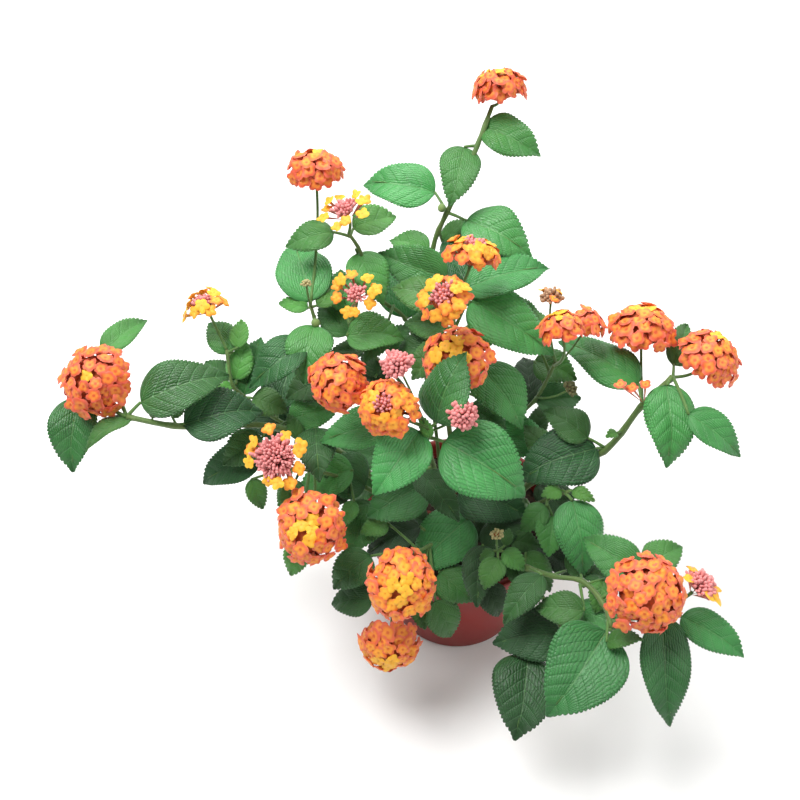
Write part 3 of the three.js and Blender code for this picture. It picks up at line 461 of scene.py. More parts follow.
# Full heads: the ages of the first and the last floret, and how many are freshly open
FULL_LOOK = {
    "head_back": (0.5, 1.22, 5),
    "head_back_left": (0.5, 1.27, 1),
    "head_left_orange": (0.52, 1.22, 0),
    "head_left": (0.85, 1.52, 1),
    "head_left_low": (0.48, 1.17, 5),
    "head_front": (0.2, 0.97, 4),
    "head_front_low": (0.25, 1.02, 4),
    "head_low_right": (0.55, 1.27, 0),
    "head_right_orange": (0.5, 1.22, 2),
    "head_right": (0.5, 1.22, 2),
    "head_right_back": (0.25, 1.12, 3),
    "head_right_red": (0.75, 1.42, 0),
    "head_centre": (0.35, 1.22, 6),
}

# Ring heads: their florets, then the last angle and the reach of the buds inside
RING_LOOK = {
    "head_left_back": (Bloom(62, 88, 0.0, 0.3, 10, 0.74, 0.8, 0.25), 62, 0.62),
    "head_mid_left": (Bloom(62, 88, 0.05, 0.3, 10, 0.74, 0.8, 0.25), 62, 0.6),
    "head_left_yellow": (Bloom(44, 90, -0.1, 0.5, 15, 0.86, 0.3, 0.3), 56, 0.66),
    "head_left_buds": (Bloom(64, 92, 0.0, 0.25, 11, 0.8, 0.75, 0.25), 88, 0.8),
    "head_low_pink": (Bloom(50, 74, 0.0, 0.1, 6, 0.95, 0.7, 0.3), 84, 0.9),
    "head_centre_back": (Bloom(30, 98, 0.1, 0.75, 26, 0.86, 0.3, 0.6), 34, 0.9),
    "head_centre_high": (Bloom(40, 96, 0.1, 0.7, 20, 0.84, 0.5, 0.55), 44, 0.82),
    "head_centre_yellow": (Bloom(28, 104, 0.35, 0.85, 42, 0.88, 0.3, 0.66), 26, 0.9),
}
RING_BUD_WIDTH, RING_BUD_TALL, RING_BUD_PITCH = 1.8, 1.9, 1.18

# Heads of buds alone: their buds, the size of the heart, the piece's first name, its finish and
# its slot
BUNCHES = {
    "buds": (Bunch(112, 2.2, 1.06, 1.9, 1.1), 0.4, "bunch_", "pink", "buds_pink"),
    "cream": (Bunch(118, 1.5, 1.0, 1.4, 1.3), 0.5, "bunch_", "cream", "buds_green"),
    "seed": (Bunch(112, 2.0, 1.0, 1.4, 1.3), 0.45, "faded_", "tan", "buds_green"),
    "spent": (Bunch(118, 1.8, 1.0, 1.8, 1.3), 0.5, "cups_", "spent", "buds_green"),
}

# The few florets left on a head that goes to seed
SEED_LOOK = Bloom(30, 84, 0.2, 0.35, 4, 0.6, 0.5, 0)

# Leaves painted lighter as held up to the light, and leaves painted darker as kept in shade, by their
# number on a stem
SUNLIT = {"centre": (1, 2, 6), "right": (0, 1), "left_back": (0,), "centre_back": (0, 1),
          "right_back": (5,), "front": (5,), "left": (6,), "right_low": (2,), "left_front": (3,)}
DARK = {"right_low": (6, 10), "right": (4, 5, 8), "left": (2, 4, 9), "centre": (5, 9),
        "front": (8,), "right_back": (4,), "centre_back": (3,)}

# Fruits left green on a stem: the stem, the share of its length and the side they hang on
BERRIES = [("back", 0.76, 200), ("back", 0.6, 300), ("left", 0.94, 80), ("left_back", 0.95, 280)]
BERRY_RADIUS = 2.4
BERRY_LIFT = 25

# The last florets of a fallen head: the stem that bore it, where, their reach and their width
LEFT_OVER = ("right", 0.88, (-9, -3, 17), 6.5)


def tint(name, description, default):
    """A colour that a user may change."""
    return bpy.props.FloatVectorProperty(name=name, description=description, default=default,
                                         subtype="COLOR", min=0, max=1)


class PotLook(bpy.types.PropertyGroup):
    """The nursery pot."""

    colour: tint("Plastic colour", "Colour of the moulded pot", (0.235, 0.02, 0.0165))
    dusty: bpy.props.FloatProperty(
        name="Soil dust", description="How much soil dust clings to the pot",
        default=0.18, subtype="FACTOR", min=0, max=1)


class LeafLook(bpy.types.PropertyGroup):
    """The leaves and green stems."""

    thick: bpy.props.FloatProperty(
        name="Blade thickness", description="Thickness of a leaf blade",
        default=0.45 * MM, unit="LENGTH")
    tooth: bpy.props.FloatProperty(
        name="Tooth spacing", description="Distance between the teeth of a leaf's edge",
        default=1.8 * MM, unit="LENGTH")
    dark: tint("Old leaf", "Colour of a full-grown leaf", (0.005, 0.05, 0.009))
    # Painted highlight: the light end of a leaf's colour, taken by the raised quilting and the sunlit
    # leaves, elsewhere partly each leaf's own lighter tone
    light: tint("Leaf highlights", "Colour of the raised quilting of a leaf", (0.072, 0.37, 0.088))
    young: tint("Young leaf", "Colour of the small leaves at a stem's tip", (0.16, 0.44, 0.06))


class FlowerLook(bpy.types.PropertyGroup):
    """The florets and buds."""

    floret: bpy.props.FloatProperty(
        name="Floret width", description="Width of a floret",
        default=9.2 * MM, unit="LENGTH")
    fresh: tint("Fresh floret", "Colour of a floret that has just opened", (0.92, 0.5, 0.035))
    middle: tint("Older floret", "Colour of a floret some days old", (0.84, 0.185, 0.026))
    old: tint("Oldest floret", "Colour of a floret before it falls", (0.66, 0.055, 0.022))
    bud: tint("Bud", "Colour of the unopened buds", (0.86, 0.32, 0.31))


class StageLook(bpy.types.PropertyGroup):
    """The floor, the lights and the camera."""

    floor: bpy.props.FloatProperty(
        name="Floor width", description="Width of the pale floor", default=12.0, unit="LENGTH")
    key: bpy.props.FloatProperty(
        name="Key light", description="Power of the large soft light", default=50.0, unit="POWER")
    fill: bpy.props.FloatProperty(
        name="Sky", description="Strength of the even light all round", default=0.23)
    lens: bpy.props.FloatProperty(
        name="Lens", description="Focal length", default=51.75, unit="CAMERA")


class Varying:
    """A number or colour that varies over a surface, and takes part in sums."""

    def __init__(self, surface, socket):
        self.surface = surface
        self.socket = socket

    def _sum(self, operation, *terms):
        return self.surface.node("ShaderNodeMath", {"operation": operation}, dict(enumerate(terms)))

    def __add__(self, other):
        return self._sum("ADD", self, other)

    def __radd__(self, other):
        return self._sum("ADD", other, self)

    def __sub__(self, other):
        return self._sum("SUBTRACT", self, other)

    def __rsub__(self, other):
        return self._sum("SUBTRACT", other, self)

    def __mul__(self, other):
        return self._sum("MULTIPLY", self, other)

    def __rmul__(self, other):
        return self._sum("MULTIPLY", other, self)

    def __abs__(self):
        return self._sum("ABSOLUTE", self)

    def part(self, name):
        """Another output of the same node."""
        return Varying(self.surface, self.socket.node.outputs[name])

    def fraction(self):
        return self._sum("FRACT", self)

    def least(self, other):
        return self._sum("MINIMUM", self, other)

    def steps(self, low, high):
        """0 below low and 1 above high, with a smooth passage; low may be the higher one."""
        settings = {"interpolation_type": "SMOOTHSTEP"}
        values = {"Value": self, "From Min": low, "From Max": high}
        return self.surface.node("ShaderNodeMapRange", settings, values)


class Surface:
    """A material: one glossy shader and the nodes that vary it."""

    def __init__(self, name, **finish):
        self.material = bpy.data.materials.new(name)
        self.material.use_nodes = True
        self.tree = self.material.node_tree
        self.tree.nodes.clear()
        self.shader = self.tree.nodes.new("ShaderNodeBsdfPrincipled")
        output = self.tree.nodes.new("ShaderNodeOutputMaterial")
        self.tree.links.new(self.shader.outputs[0], output.inputs["Surface"])
        for socket, value in finish.items():
            self.shader.inputs[socket.replace("_", " ")].default_value = value
        self.place = self.node("ShaderNodeTexCoord").part("Object")

    def node(self, kind, settings=None, values=None):
        """A node with its settings, the values or links of its sockets, and its first output."""
        made = self.tree.nodes.new(kind)
        for name, value in (settings or {}).items():
            if name == "stops":
                self._fill_ramp(made.color_ramp, value)
            else:
                setattr(made, name, value)
        for name, value in (values or {}).items():
            self._feed(made.inputs[name], value)
        outputs = [socket for socket in made.outputs if socket.enabled]
        return Varying(self, outputs[0])

    def _feed(self, socket, value):
        if isinstance(value, Varying):
            self.tree.links.new(value.socket, socket)
        elif hasattr(value, "__len__"):
            full = tuple(value)
            size = len(socket.default_value)
            socket.default_value = full + (1,) * (size - len(full))
        else:
            socket.default_value = value

    def _fill_ramp(self, ramp, stops):
        while len(ramp.elements) < len(stops):
            ramp.elements.new(1)
        for element, (position, colour) in zip(ramp.elements, stops):
            element.position = position
            element.color = (*colour, 1)

    def blend(self, share, low, high):
        """The low colour where share is 0 and the high one where it is 1."""
        made = self.tree.nodes.new("ShaderNodeMix")
        made.data_type = "RGBA"
        self._feed(made.inputs["Factor"], share)
        sockets = [socket for socket in made.inputs if socket.type == "RGBA"]
        self._feed(sockets[0], low)
        self._feed(sockets[1], high)
        result = [socket for socket in made.outputs if socket.type == "RGBA"][0]
        return Varying(self, result)

    def noise(self, scale, detail=3.0, rough=0.55):
        values = {"Vector": self.place, "Scale": scale, "Detail": detail, "Roughness": rough}
        return self.node("ShaderNodeTexNoise", None, values)

    def cells(self, scale, feature="F1"):
        values = {"Vector": self.place, "Scale": scale}
        return self.node("ShaderNodeTexVoronoi", {"feature": feature}, values)

    def ramp(self, value, stops):
        return self.node("ShaderNodeValToRGB", {"stops": stops}, {"Fac": value})

    def attribute(self, name):
        return self.node("ShaderNodeAttribute", {"attribute_name": name})

    def split(self, colour):
        return self.node("ShaderNodeSeparateColor", None, {"Color": colour})

    def feed(self, socket, value):
        self._feed(self.shader.inputs[socket], value)

    def finish(self, colour, roughness, height=None, distance=0.0, strength=1.0):
        """Feeds the colour, the roughness and the height in metres, and hands over the material."""
        self.feed("Base Color", colour)
        self.feed("Roughness", roughness)
        if height:
            values = {"Height": height, "Distance": distance, "Strength": strength}
            self.feed("Normal", self.node("ShaderNodeBump", None, values))
        return self.material


def darker(colour, share):
    return tuple(share * part for part in colour)


def toward(low, high, share):
    return tuple(a + (b - a) * share for a, b in zip(low, high))


def pot_plastic(look):
    surface = Surface("pot plastic", IOR=1.47, Specular_IOR_Level=0.25)
    cloud = surface.noise(35, 4)
    colour = surface.blend(cloud, darker(look.colour, 0.82), darker(look.colour, 1.18))
    height = surface.node("ShaderNodeSeparateXYZ", None, {0: surface.place}).part("Z")
    foot = height.steps(0.03, 0.0)
    rim = height.steps(0.074, 0.086)
    grit = surface.noise(420, 6, 0.7).steps(0.42, 0.68)
    patches = surface.noise(60, 5, 0.65).steps(0.4, 0.7)
    dust = (foot * 0.7 + rim * 0.35 + patches * 0.3) * grit * look.dusty
    colour = surface.blend(dust, colour, (0.28, 0.2, 0.14))
    scuffs = surface.noise(170, 8, 0.8).steps(0.6, 0.72)
    colour = surface.blend(scuffs * 0.16, colour, (0.62, 0.32, 0.27))
    roughness = 0.4 + cloud * 0.12 + dust * 0.4 + scuffs * 0.1
    return surface.finish(colour, roughness, surface.noise(900, 3) * 0.4 + cloud, 0.0002, 0.35)


def soil_surface():
    surface = Surface("potting soil", Specular_IOR_Level=0.25)
    grain = surface.noise(260, 8, 0.7)
    lumps = surface.cells(160)
    colour = surface.ramp(grain, [(0.25, (0.006, 0.004, 0.003)), (0.5, (0.028, 0.017, 0.011)),
                                  (0.62, (0.06, 0.036, 0.022)), (0.8, (0.13, 0.085, 0.055))])
    return surface.finish(colour, 0.8 + grain * 0.2, grain + lumps * 0.8, 0.0012)


def leaf_surface(look, under=False):
    """The upper or the under side of a blade: its map runs from vein to vein and side to side.

    The tone holds each leaf's youth, its own chance, painted lighter on sunlit leaves and darker on
    dark ones, and its painted shade.
    """
    surface = Surface("leaf underside" if under else "leaf blade", Specular_IOR_Level=0.55,
                      Sheen_Weight=0.12, Sheen_Roughness=0.35, Sheen_Tint=(0.7, 1.0, 0.8, 1))
    spot = surface.node("ShaderNodeUVMap", {"uv_map": "veins"})
    parts = surface.node("ShaderNodeSeparateXYZ", None, {0: spot})
    vein, side = parts.part("X"), parts.part("Y")
    out = abs(side * 2 - 1)
    tone = surface.split(surface.attribute("tone"))
    youth, chance, painted_shade = tone.part("Red"), tone.part("Green"), tone.part("Blue")
    near = abs((vein + 0.5).fraction() - 0.5)
    ribs = near.steps(0.06, 0.01) * (1 - out * 0.4)
    midrib = out.steps(0.03, 0.006)
    puff = near.steps(0.0, 0.2) * out.steps(0.0, 0.1)
    mottle = surface.noise(75, 4, 0.6)
    warp = surface.noise(230, 2)
    rung = abs((out * LADDER + vein * 0.4 + warp * 1.7).fraction() - 0.5)
    ladder = rung.steps(0.0, 0.36)
    net = surface.cells(900, "DISTANCE_TO_EDGE").steps(0.0, 0.25)
    low, high, young = look.dark, look.light, look.young
    if under:
        low, high = toward(low, (0.13, 0.24, 0.1), 0.55), toward(high, (0.2, 0.34, 0.15), 0.5)
    # Painted highlight and shade: the puffs between the veins and the small veins of the ladder are
    # lighter, the grooves darker; mottle and chance are each leaf's own tone
    light = puff * 0.12 + ladder * 0.22 + mottle * 0.6 - 0.5 + chance * 0.85
    colour = surface.blend(light.least(1), low, high)
    colour = surface.blend(youth * (0.6 + mottle * 0.5), colour, young)
    groove = (0.2, 0.36, 0.12) if under else (0.14, 0.42, 0.14)
    colour = surface.blend(ribs * (0.7 if under else 0.45), colour, groove)
    colour = surface.blend(midrib * (0.8 if under else 0.35), colour, (0.2, 0.44, 0.15))
    # Painted shade: leaves under others, low in the bush or kept dark are darkened
    colour = surface.blend(painted_shade, colour, darker(low, 0.25))
    height = (puff * 0.22 + ladder * 0.2 + net * 0.08) * (-1 if under else 1)
    return surface.finish(colour, 0.33 + mottle * 0.14 + painted_shade * 0.25, height, 0.0011, 0.8)


def stem_surface():
    surface = Surface("green stem", Sheen_Weight=0.2, Specular_IOR_Level=0.35)
    cloud = surface.noise(70, 4)
    streak = surface.noise(700, 4, 0.7)
    young = surface.split(surface.attribute("tone")).part("Red")
    colour = surface.blend(cloud, (0.05, 0.14, 0.028), (0.115, 0.23, 0.05))
    colour = surface.blend(streak.steps(0.5, 0.75) * 0.4, colour, (0.26, 0.36, 0.13))
    colour = surface.blend((1 - young).steps(0.5, 1.0) * cloud * 0.6, colour, (0.16, 0.12, 0.05))
    return surface.finish(colour, 0.5 + streak * 0.15, streak + cloud * 0.5, 0.0002, 0.6)


def hair_surface():
    surface = Surface("hairs", Sheen_Weight=0.3)
    colour = surface.blend(surface.noise(200), (0.22, 0.33, 0.16), (0.5, 0.58, 0.4))
    return surface.finish(colour, surface.noise(90) * 0.3 + 0.4)


def petal_surface(look):
    """Florets: the tone holds each one's age, its own chance and how far out a point lies."""
    surface = Surface("petals", Sheen_Weight=0.1, Specular_IOR_Level=0.3,
                      Subsurface_Weight=0.14, Subsurface_Scale=0.002)
    tone = surface.attribute("tone")
    parts = surface.split(tone)
    age, chance, out = parts.part("Red"), parts.part("Green"), parts.part("Blue")
    tube = tone.part("Alpha")
    grain = surface.noise(900, 4)
    aged = age + (chance - 0.5) * 0.14 + (out - 0.6) * 0.24 + (grain - 0.5) * 0.16
    fresh, middle, old = look.fresh, look.middle, look.old
    colour = surface.ramp(aged, [(0.1, fresh), (0.3, toward(fresh, middle, 0.35)), (0.55, middle),
                                 (0.8, toward(middle, old, 0.6)), (1.0, old)])
    # Painted shade: the throat in the middle of each floret is darkened
    eye = out.steps(0.2, 0.06)
    colour = surface.blend(age.steps(0.4, 0.9) * chance * 0.45, colour, (0.9, 0.22, 0.12))
    colour = surface.blend(eye * 0.45, colour, (0.6, 0.12, 0.02))
    ring = out.steps(0.1, 0.3) * out.steps(0.85, 0.35)
    colour = surface.blend(ring * (0.84 - age * 0.4), colour, (1.0, 0.46, 0.045))
    pale = out.steps(0.6, 1.0) * age.steps(0.3, 0.8)
    colour = surface.blend(pale * 0.36, colour, (0.9, 0.26, 0.16))
    # The tubes take their own salmon red, deepened as painted shade where they show between the
    # florets
    colour = surface.blend(tube.steps(0.0, 0.2), colour, (0.72, 0.22, 0.14))
    return surface.finish(colour, 0.45 + grain * 0.2, grain, 0.0002, 0.4)


def bud_surface(name, foot, tip):
    surface = Surface(name, Sheen_Weight=0.15, Specular_IOR_Level=0.3)
    parts = surface.split(surface.attribute("tone"))
    chance, out = parts.part("Green"), parts.part("Blue")
    grain = surface.noise(800, 3)
    colour = surface.blend(out.steps(0.3, 0.95), foot, tip)
    colour = surface.blend(chance * 0.5 + grain * 0.3, colour, darker(tip, 0.72))
    return surface.finish(colour, 0.5 + grain * 0.2, grain, 0.0002, 0.5)


def dry_surface():
    surface = Surface("dry florets", Specular_IOR_Level=0.2)
    parts = surface.split(surface.attribute("tone"))
    grain = surface.noise(500, 4)
    colour = surface.blend(parts.part("Green"), (0.2, 0.05, 0.03), (0.32, 0.11, 0.05))
    colour = surface.blend(grain, colour, (0.08, 0.03, 0.02))
    return surface.finish(colour, 0.7 + grain * 0.2, grain, 0.0003)


# The heart's dark red is painted shade: it stands for the shadow in the gaps between florets and buds
def heart_shade_surface():
    surface = Surface("head heart painted shade", Specular_IOR_Level=0.2)
    grain = surface.noise(600, 4)
    colour = surface.blend(grain, (0.36, 0.06, 0.02), (0.6, 0.15, 0.05))
    return surface.finish(colour, 0.7 + grain * 0.2, grain, 0.0003)


def as_mesh(name, bm):
    mesh = bpy.data.meshes.new(name)
    bm.to_mesh(mesh)
    bm.free()
    return mesh


def tone_layer(bm):
    """The four numbers of each point that the surfaces read as its tone."""
    return bm.verts.layers.float_color.get("tone") or bm.verts.layers.float_color.new("tone")


def lathe(profile, steps):
    """A shape turned about the upright axis from a profile of (radius, height)."""
    bm = bmesh.new()
    row = [bm.verts.new((radius, 0, height)) for radius, height in profile]
    edges = [bm.edges.new(pair) for pair in zip(row, row[1:])]
    bmesh.ops.spin(bm, geom=row + edges, axis=UP, cent=(0, 0, 0), steps=steps,
                   angle=FULL_TURN, use_merge=True)
    bmesh.ops.remove_doubles(bm, verts=bm.verts, dist=DOUBLES)
    bmesh.ops.recalc_face_normals(bm, faces=bm.faces)
    return bm


def finished(name, bm, materials, slot, stands_for=()):
    """The piece itself: its mesh in metres, its materials and the body it rides on; the slot is not
    used.
    """
    bmesh.ops.scale(bm, vec=(MM, MM, MM), verts=bm.verts)
    mesh = as_mesh(name, bm)
    mesh.shade_smooth()
    for material in materials:
        mesh.materials.append(material)
    piece = bpy.data.objects.new(name, mesh)
    bpy.context.scene.collection.objects.link(piece)
    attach(piece, "root")
    if stands_for:
        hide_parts(*stands_for)
    return piece


def aim_of(heading, lift):
    level = math.cos(math.radians(lift))
    turn = math.radians(heading)
    return Vector((level * math.cos(turn), level * math.sin(turn), math.sin(math.radians(lift))))


def catmull_rom(points, steps):
    """A smooth curve through the points, evenly spaced: the centripetal one of the solids."""
    points = [Vector(p) for p in points]
    first = 2 * points[0] - points[1]
    last = 2 * points[-1] - points[-2]
    row = [first, *points, last]
    fine = []
    for i in range(1, len(row) - 2):
        a, b, c, d = row[i - 1:i + 3]
        ab, bc, cd = (max((q - p).length_squared ** 0.25, DOUBLES)
                      for p, q in ((a, b), (b, c), (c, d)))
        start = ((b - a) / ab - (c - a) / (ab + bc) + (c - b) / bc) * bc
        end = ((c - b) / bc - (d - b) / (bc + cd) + (d - c) / cd) * bc
        for j in range(CURVE_PARTS):
            t = j / CURVE_PARTS
            fine.append(b + start * t + (3 * (c - b) - 2 * start - end) * t * t
                        + (2 * (b - c) + start + end) * t ** 3)
    fine.append(points[-1])
    return even(fine, steps)


def even(row, steps):
    """Points evenly spaced along a row of points."""
    lengths = [0.0]
    for p, q in zip(row, row[1:]):
        lengths.append(lengths[-1] + (q - p).length)
    spaced = []
    k = 0
    for i in range(steps + 1):
        want = lengths[-1] * i / steps
        while k < len(row) - 2 and lengths[k + 1] < want:
            k += 1
        span = max(lengths[k + 1] - lengths[k], 1e-9)
        spaced.append(row[k].lerp(row[k + 1], min((want - lengths[k]) / span, 1)))
    return spaced


def along(row, share):
    """The point at a share of an evenly spaced row."""
    step = min(int(share * (len(row) - 1)), len(row) - 2)
    return row[step].lerp(row[step + 1], share * (len(row) - 1) - step)


def bezier(start, middle, end, steps):
    row = []
    for i in range(steps + 1):
        t = i / steps
        row.append(start.lerp(middle, t).lerp(middle.lerp(end, t), t))
    return row


def turned_frames(row):
    """For each point of a row, two directions square to it that don't twist along it."""
    aims = [(row[min(i + 1, len(row) - 1)] - row[max(i - 1, 0)]).normalized()
            for i in range(len(row))]
    side = aims[0].orthogonal().normalized()
    frames = []
    for i, aim in enumerate(aims):
        if i:
            side = aims[i - 1].rotation_difference(aim) @ side
        side = (side - aim * side.dot(aim)).normalized()
        frames.append((side, aim.cross(side)))
    return frames


def rod(bm, row, width_at, sides, corners=0.0, tone=(0, 0, 0, 0)):
    """A straight rod of rings, then bent along the row; corners raise four ridges along it."""
    layer = tone_layer(bm)
    made = bmesh.ops.create_circle(bm, cap_ends=True, segments=sides, radius=1)
    verts = list(made["verts"])
    edges = list({edge for v in verts for edge in v.link_edges})
    for _ in row[1:]:
        made = bmesh.ops.extrude_edge_only(bm, edges=edges)["geom"]
        ring = [part for part in made if isinstance(part, bmesh.types.BMVert)]
        bmesh.ops.translate(bm, vec=UP, verts=ring)
        edges = [part for part in made if isinstance(part, bmesh.types.BMEdge)
                 and all(v in ring for v in part.verts)]
        verts += ring
    bmesh.ops.contextual_create(bm, geom=edges)
    frames = turned_frames(row)
    for v in verts:
        k = round(v.co.z)
        turn = math.atan2(v.co.y, v.co.x)
        reach = width_at(k / (len(row) - 1)) / 2 * (1 + corners * math.cos(4 * turn))
        side, other = frames[k]
        v.co = row[k] + (side * math.cos(turn) + other * math.sin(turn)) * reach
        v[layer] = tone
    return verts


def outline(share):
    """Half a blade's width along it, over the widest: round at the base, drawn out to the tip."""
    return max(math.sin(math.pi * share ** 0.62), 0) ** 0.75


def blade_axes(heading, lift, roll):
    aim = aim_of(heading, lift)
    left = UP.cross(aim).normalized()
    turn = Quaternion(aim, math.radians(roll))
    return aim, turn @ left, turn @ aim.cross(left)


def few(count):
    return max(FEWEST, min(MOST, round(count)))


def blade(bm, base, leaf_row, tooth, painted_shade, light, chance):
    """A flat grid bent into a leaf: folded along its midrib, arched, quilted and toothed."""
    length, heading, lift = leaf_row["blade"]
    wide = leaf_row["wide"]
    aim, left, face = blade_axes(heading, lift, leaf_row["roll"])
    teeth = max(5, round(length / tooth))
    uv = bm.loops.layers.uv.get("veins") or bm.loops.layers.uv.new("veins")
    layer = tone_layer(bm)
    made = bmesh.ops.create_grid(bm, x_segments=TOOTH_ROWS * teeth,
                                 y_segments=2 * few(wide / COLUMN_WIDE), size=1)
    spacing = length / few(length / VEIN_SPACING)
    youth = min(max(0.95 - length / YOUNG_LENGTH, 0), 1) + 0.25 * (chance.random() - 0.5)
    pale = chance.random()
    # Sunlit leaves are painted lighter and dark ones darker, as painted light and painted shade
    pale = 0.7 + 0.3 * pale if light > 0 else 0.15 * pale if light < 0 else pale
    tone = (min(max(youth, 0), 1), pale, painted_shade * chance.uniform(0.85, 1), 1)
    wave, phase = WAVE * length * chance.uniform(0.4, 1), chance.uniform(0, FULL_TURN)
    sweep, droop = chance.uniform(-0.06, 0.06) * length, chance.uniform(0.02, 0.1) * length
    twist, curl = chance.uniform(-0.22, 0.22), chance.uniform(0.06, 0.34)
    quilt = QUILT * length
    vein_at = {}
    for v in made["verts"]:
        share, side = (v.co.x + 1) / 2, v.co.y
        off = abs(side)
        row = round(share * teeth * TOOTH_ROWS) % TOOTH_ROWS
        stands_out = TOOTH_SHAPE[row] if 0 < share < 1 else 0.5
        edge = off ** 6 * min(share * 6, (1 - share) * 9, 1)
        drawn = 1 - TIP_DRAWN * math.exp(-(((share - TIP_AT) / TIP_SPAN) ** 2))
        half = max(wide / 2 * outline(share) * drawn, 0.75 * (1 - share) ** 2 + 0.12)
        reach = off * half + TOOTH_DEPTH * edge * (stands_out - 0.75)
        forward = edge * stands_out * TOOTH_LEAN * length / teeth
        across = math.copysign(reach * math.cos(LEAF_FOLD), side) if off else 0.0
        vein = (share * length - 0.7 * reach - 0.3 * reach * reach / (wide / 2)) / spacing
        swell = math.sin(math.pi * vein) ** 2 - 0.5
        swell *= min(off * 5, 1) * min((1 - off) * 2.2 + 0.15, 1)
        groove = -GROOVE_DEPTH * math.exp(-((reach / GROOVE_WIDE) ** 2)) if share < 0.97 else 0
        rise = LEAF_FOLD * reach + quilt * swell + groove * min(length / 35, 1)
        rise += wave * math.sin(FULL_TURN * share * 1.6 + phase + (side > 0) * 1.3) * off ** 2
        rise += 4 * LEAF_ARCH * length * share * (1 - share) - droop * share ** 4
        rise += across * math.sin(twist * share) - curl * reach * off ** 1.5
        bend = sweep * math.sin(math.pi * share) * share
        v.co = base + aim * (share * length + forward) + left * (across + bend) + face * rise
        v[layer] = tone
        vein_at[v] = (vein, (side + 1) / 2)
    for f in {f for v in made["verts"] for f in v.link_faces}:
        for loop in f.loops:
            loop[uv].uv = vein_at[loop.vert]


def stem_row(stem, steps):
    """Points evenly spaced up a stem."""
    return catmull_rom(stem["path"], steps)


def root_of(stem, share):
    """Where a stalk leaves its stem: on the straight parts of the solid's own stem."""
    return along(stem_row(stem, STEM_STEPS), share)


def stalk_end(flower):
    """Where a flower stalk meets the underside of its head."""
    aim = aim_of(*flower["axis"])
    return Vector(flower["centre"]) - aim * (HEAD_CORE * HEAD_UNDER * flower["wide"] / 2 + 0.3)


def stalk_row(stem, flower, steps):
    root, end = root_of(stem, flower["at"]), stalk_end(flower)
    middle = end - aim_of(*flower["axis"]) * STALK_SWEEP * (end - root).length
    return bezier(root, middle, end, steps)


def along_tube(height):
    """How far down its tube a point of a floret or bud lies, from 0 to 1."""
    return min(max((TUBE_TOP - height) / (1 + TUBE_TOP), 0), 1)


def floret_template(lobes, seed):
    """A floret 1 mm wide and high: its throat, its lobed face, its back and its tube."""
    chance = random.Random(seed)
    uneven = [(chance.uniform(-1, 1), chance.uniform(-1, 1)) for _ in range(lobes)]
    bm = lathe(FLORET_PROFILE, lobes * LOBE_STEPS)
    layer = tone_layer(bm)
    for v in bm.verts:
        out = math.hypot(v.co.x, v.co.y) / 0.5
        station = (math.atan2(v.co.y, v.co.x) * lobes / FULL_TURN) % lobes
        full = 1 - abs((station % 1) * 2 - 1)
        if out > 0.4:
            longer, higher = uneven[int(station + 1e-6) % lobes]
            shrink = 1 - LOBE_NOTCH * (1 - full) ** 2 * out ** 2
            shrink *= 1 + LOBE_UNEVEN * longer * full * out
            v.co.x *= shrink
            v.co.y *= shrink
            v.co.z += (LOBE_WAVE * higher * full - NOTCH_DROP * (1 - full) ** 2) * out
        v[layer] = (0, 0, min(out, 1), along_tube(v.co.z))
    for edge in bm.edges:
        edge.smooth = not all(v[layer].z > 0.99 for v in edge.verts)
    return as_mesh("floret", bm)


def bud_template():
    """A bud 1 mm wide and high, with its tube."""
    bm = lathe(BUD_PROFILE, BUD_SIDES)
    layer = tone_layer(bm)
    for v in bm.verts:
        turn = math.atan2(v.co.y, v.co.x)
        out = min(math.hypot(v.co.x, v.co.y) * 2.5, 1)
        corner = 1 + BUD_CORNERS * math.cos(4 * turn) * out
        v.co.x *= corner
        v.co.y *= corner
        v[layer] = (0, 0, min(max(v.co.z + 1, 0), 1), 0)
    return as_mesh("bud", bm)


def stand(bm, template, place, foot, aim, wide, tall, turn, tone):
    """One floret or bud: its face at place, square to aim, its tube drawn in to foot."""
    layer = tone_layer(bm)
    before = len(bm.verts)
    bm.from_mesh(template)
    bm.verts.ensure_lookup_table()
    side = Quaternion(aim, turn) @ aim.orthogonal().normalized()
    other = aim.cross(side)
    for v in bm.verts[before:]:
        x, y, z = v.co
        drawn = along_tube(z)
        at = place.lerp(foot, drawn) + aim * (max(z, TUBE_TOP) * tall)
        v.co = at + (side * x + other * y) * wide * (1 - TUBE_THINS * drawn)
        own = v[layer]
        v[layer] = (tone[0], tone[1], own[2], own[3])


def spread(count, first, last, chance):
    """Directions evenly spread over a zone of the sphere, in degrees from its top."""
    top, bottom = math.cos(math.radians(first)), math.cos(math.radians(last))
    for i in range(count):
        level = top + (bottom - top) * (i + 0.5) / count
        flat = math.sqrt(max(1 - level * level, 0))
        turn = GOLDEN * i + chance.uniform(-0.12, 0.12)
        yield Vector((flat * math.cos(turn), flat * math.sin(turn), level))


def head_frame(flower):
    """Turns and moves a head's own shape, its axis up, to its place."""
    turn = UP.rotation_difference(aim_of(*flower["axis"])).to_matrix().to_4x4()
    return Matrix.Translation(Vector(flower["centre"])) @ turn


def squashed(aim, radius):
    """A direction's point on a head: a low dome above, flatter below."""
    return Vector((aim.x, aim.y, aim.z * (HEAD_DOME if aim.z > 0 else HEAD_UNDER))) * radius


def wobble(chance, level=1):
    """A small turn to any side, or level if level is 0."""
    return Vector((chance.uniform(-1, 1), chance.uniform(-1, 1), level and chance.uniform(-1, 1)))


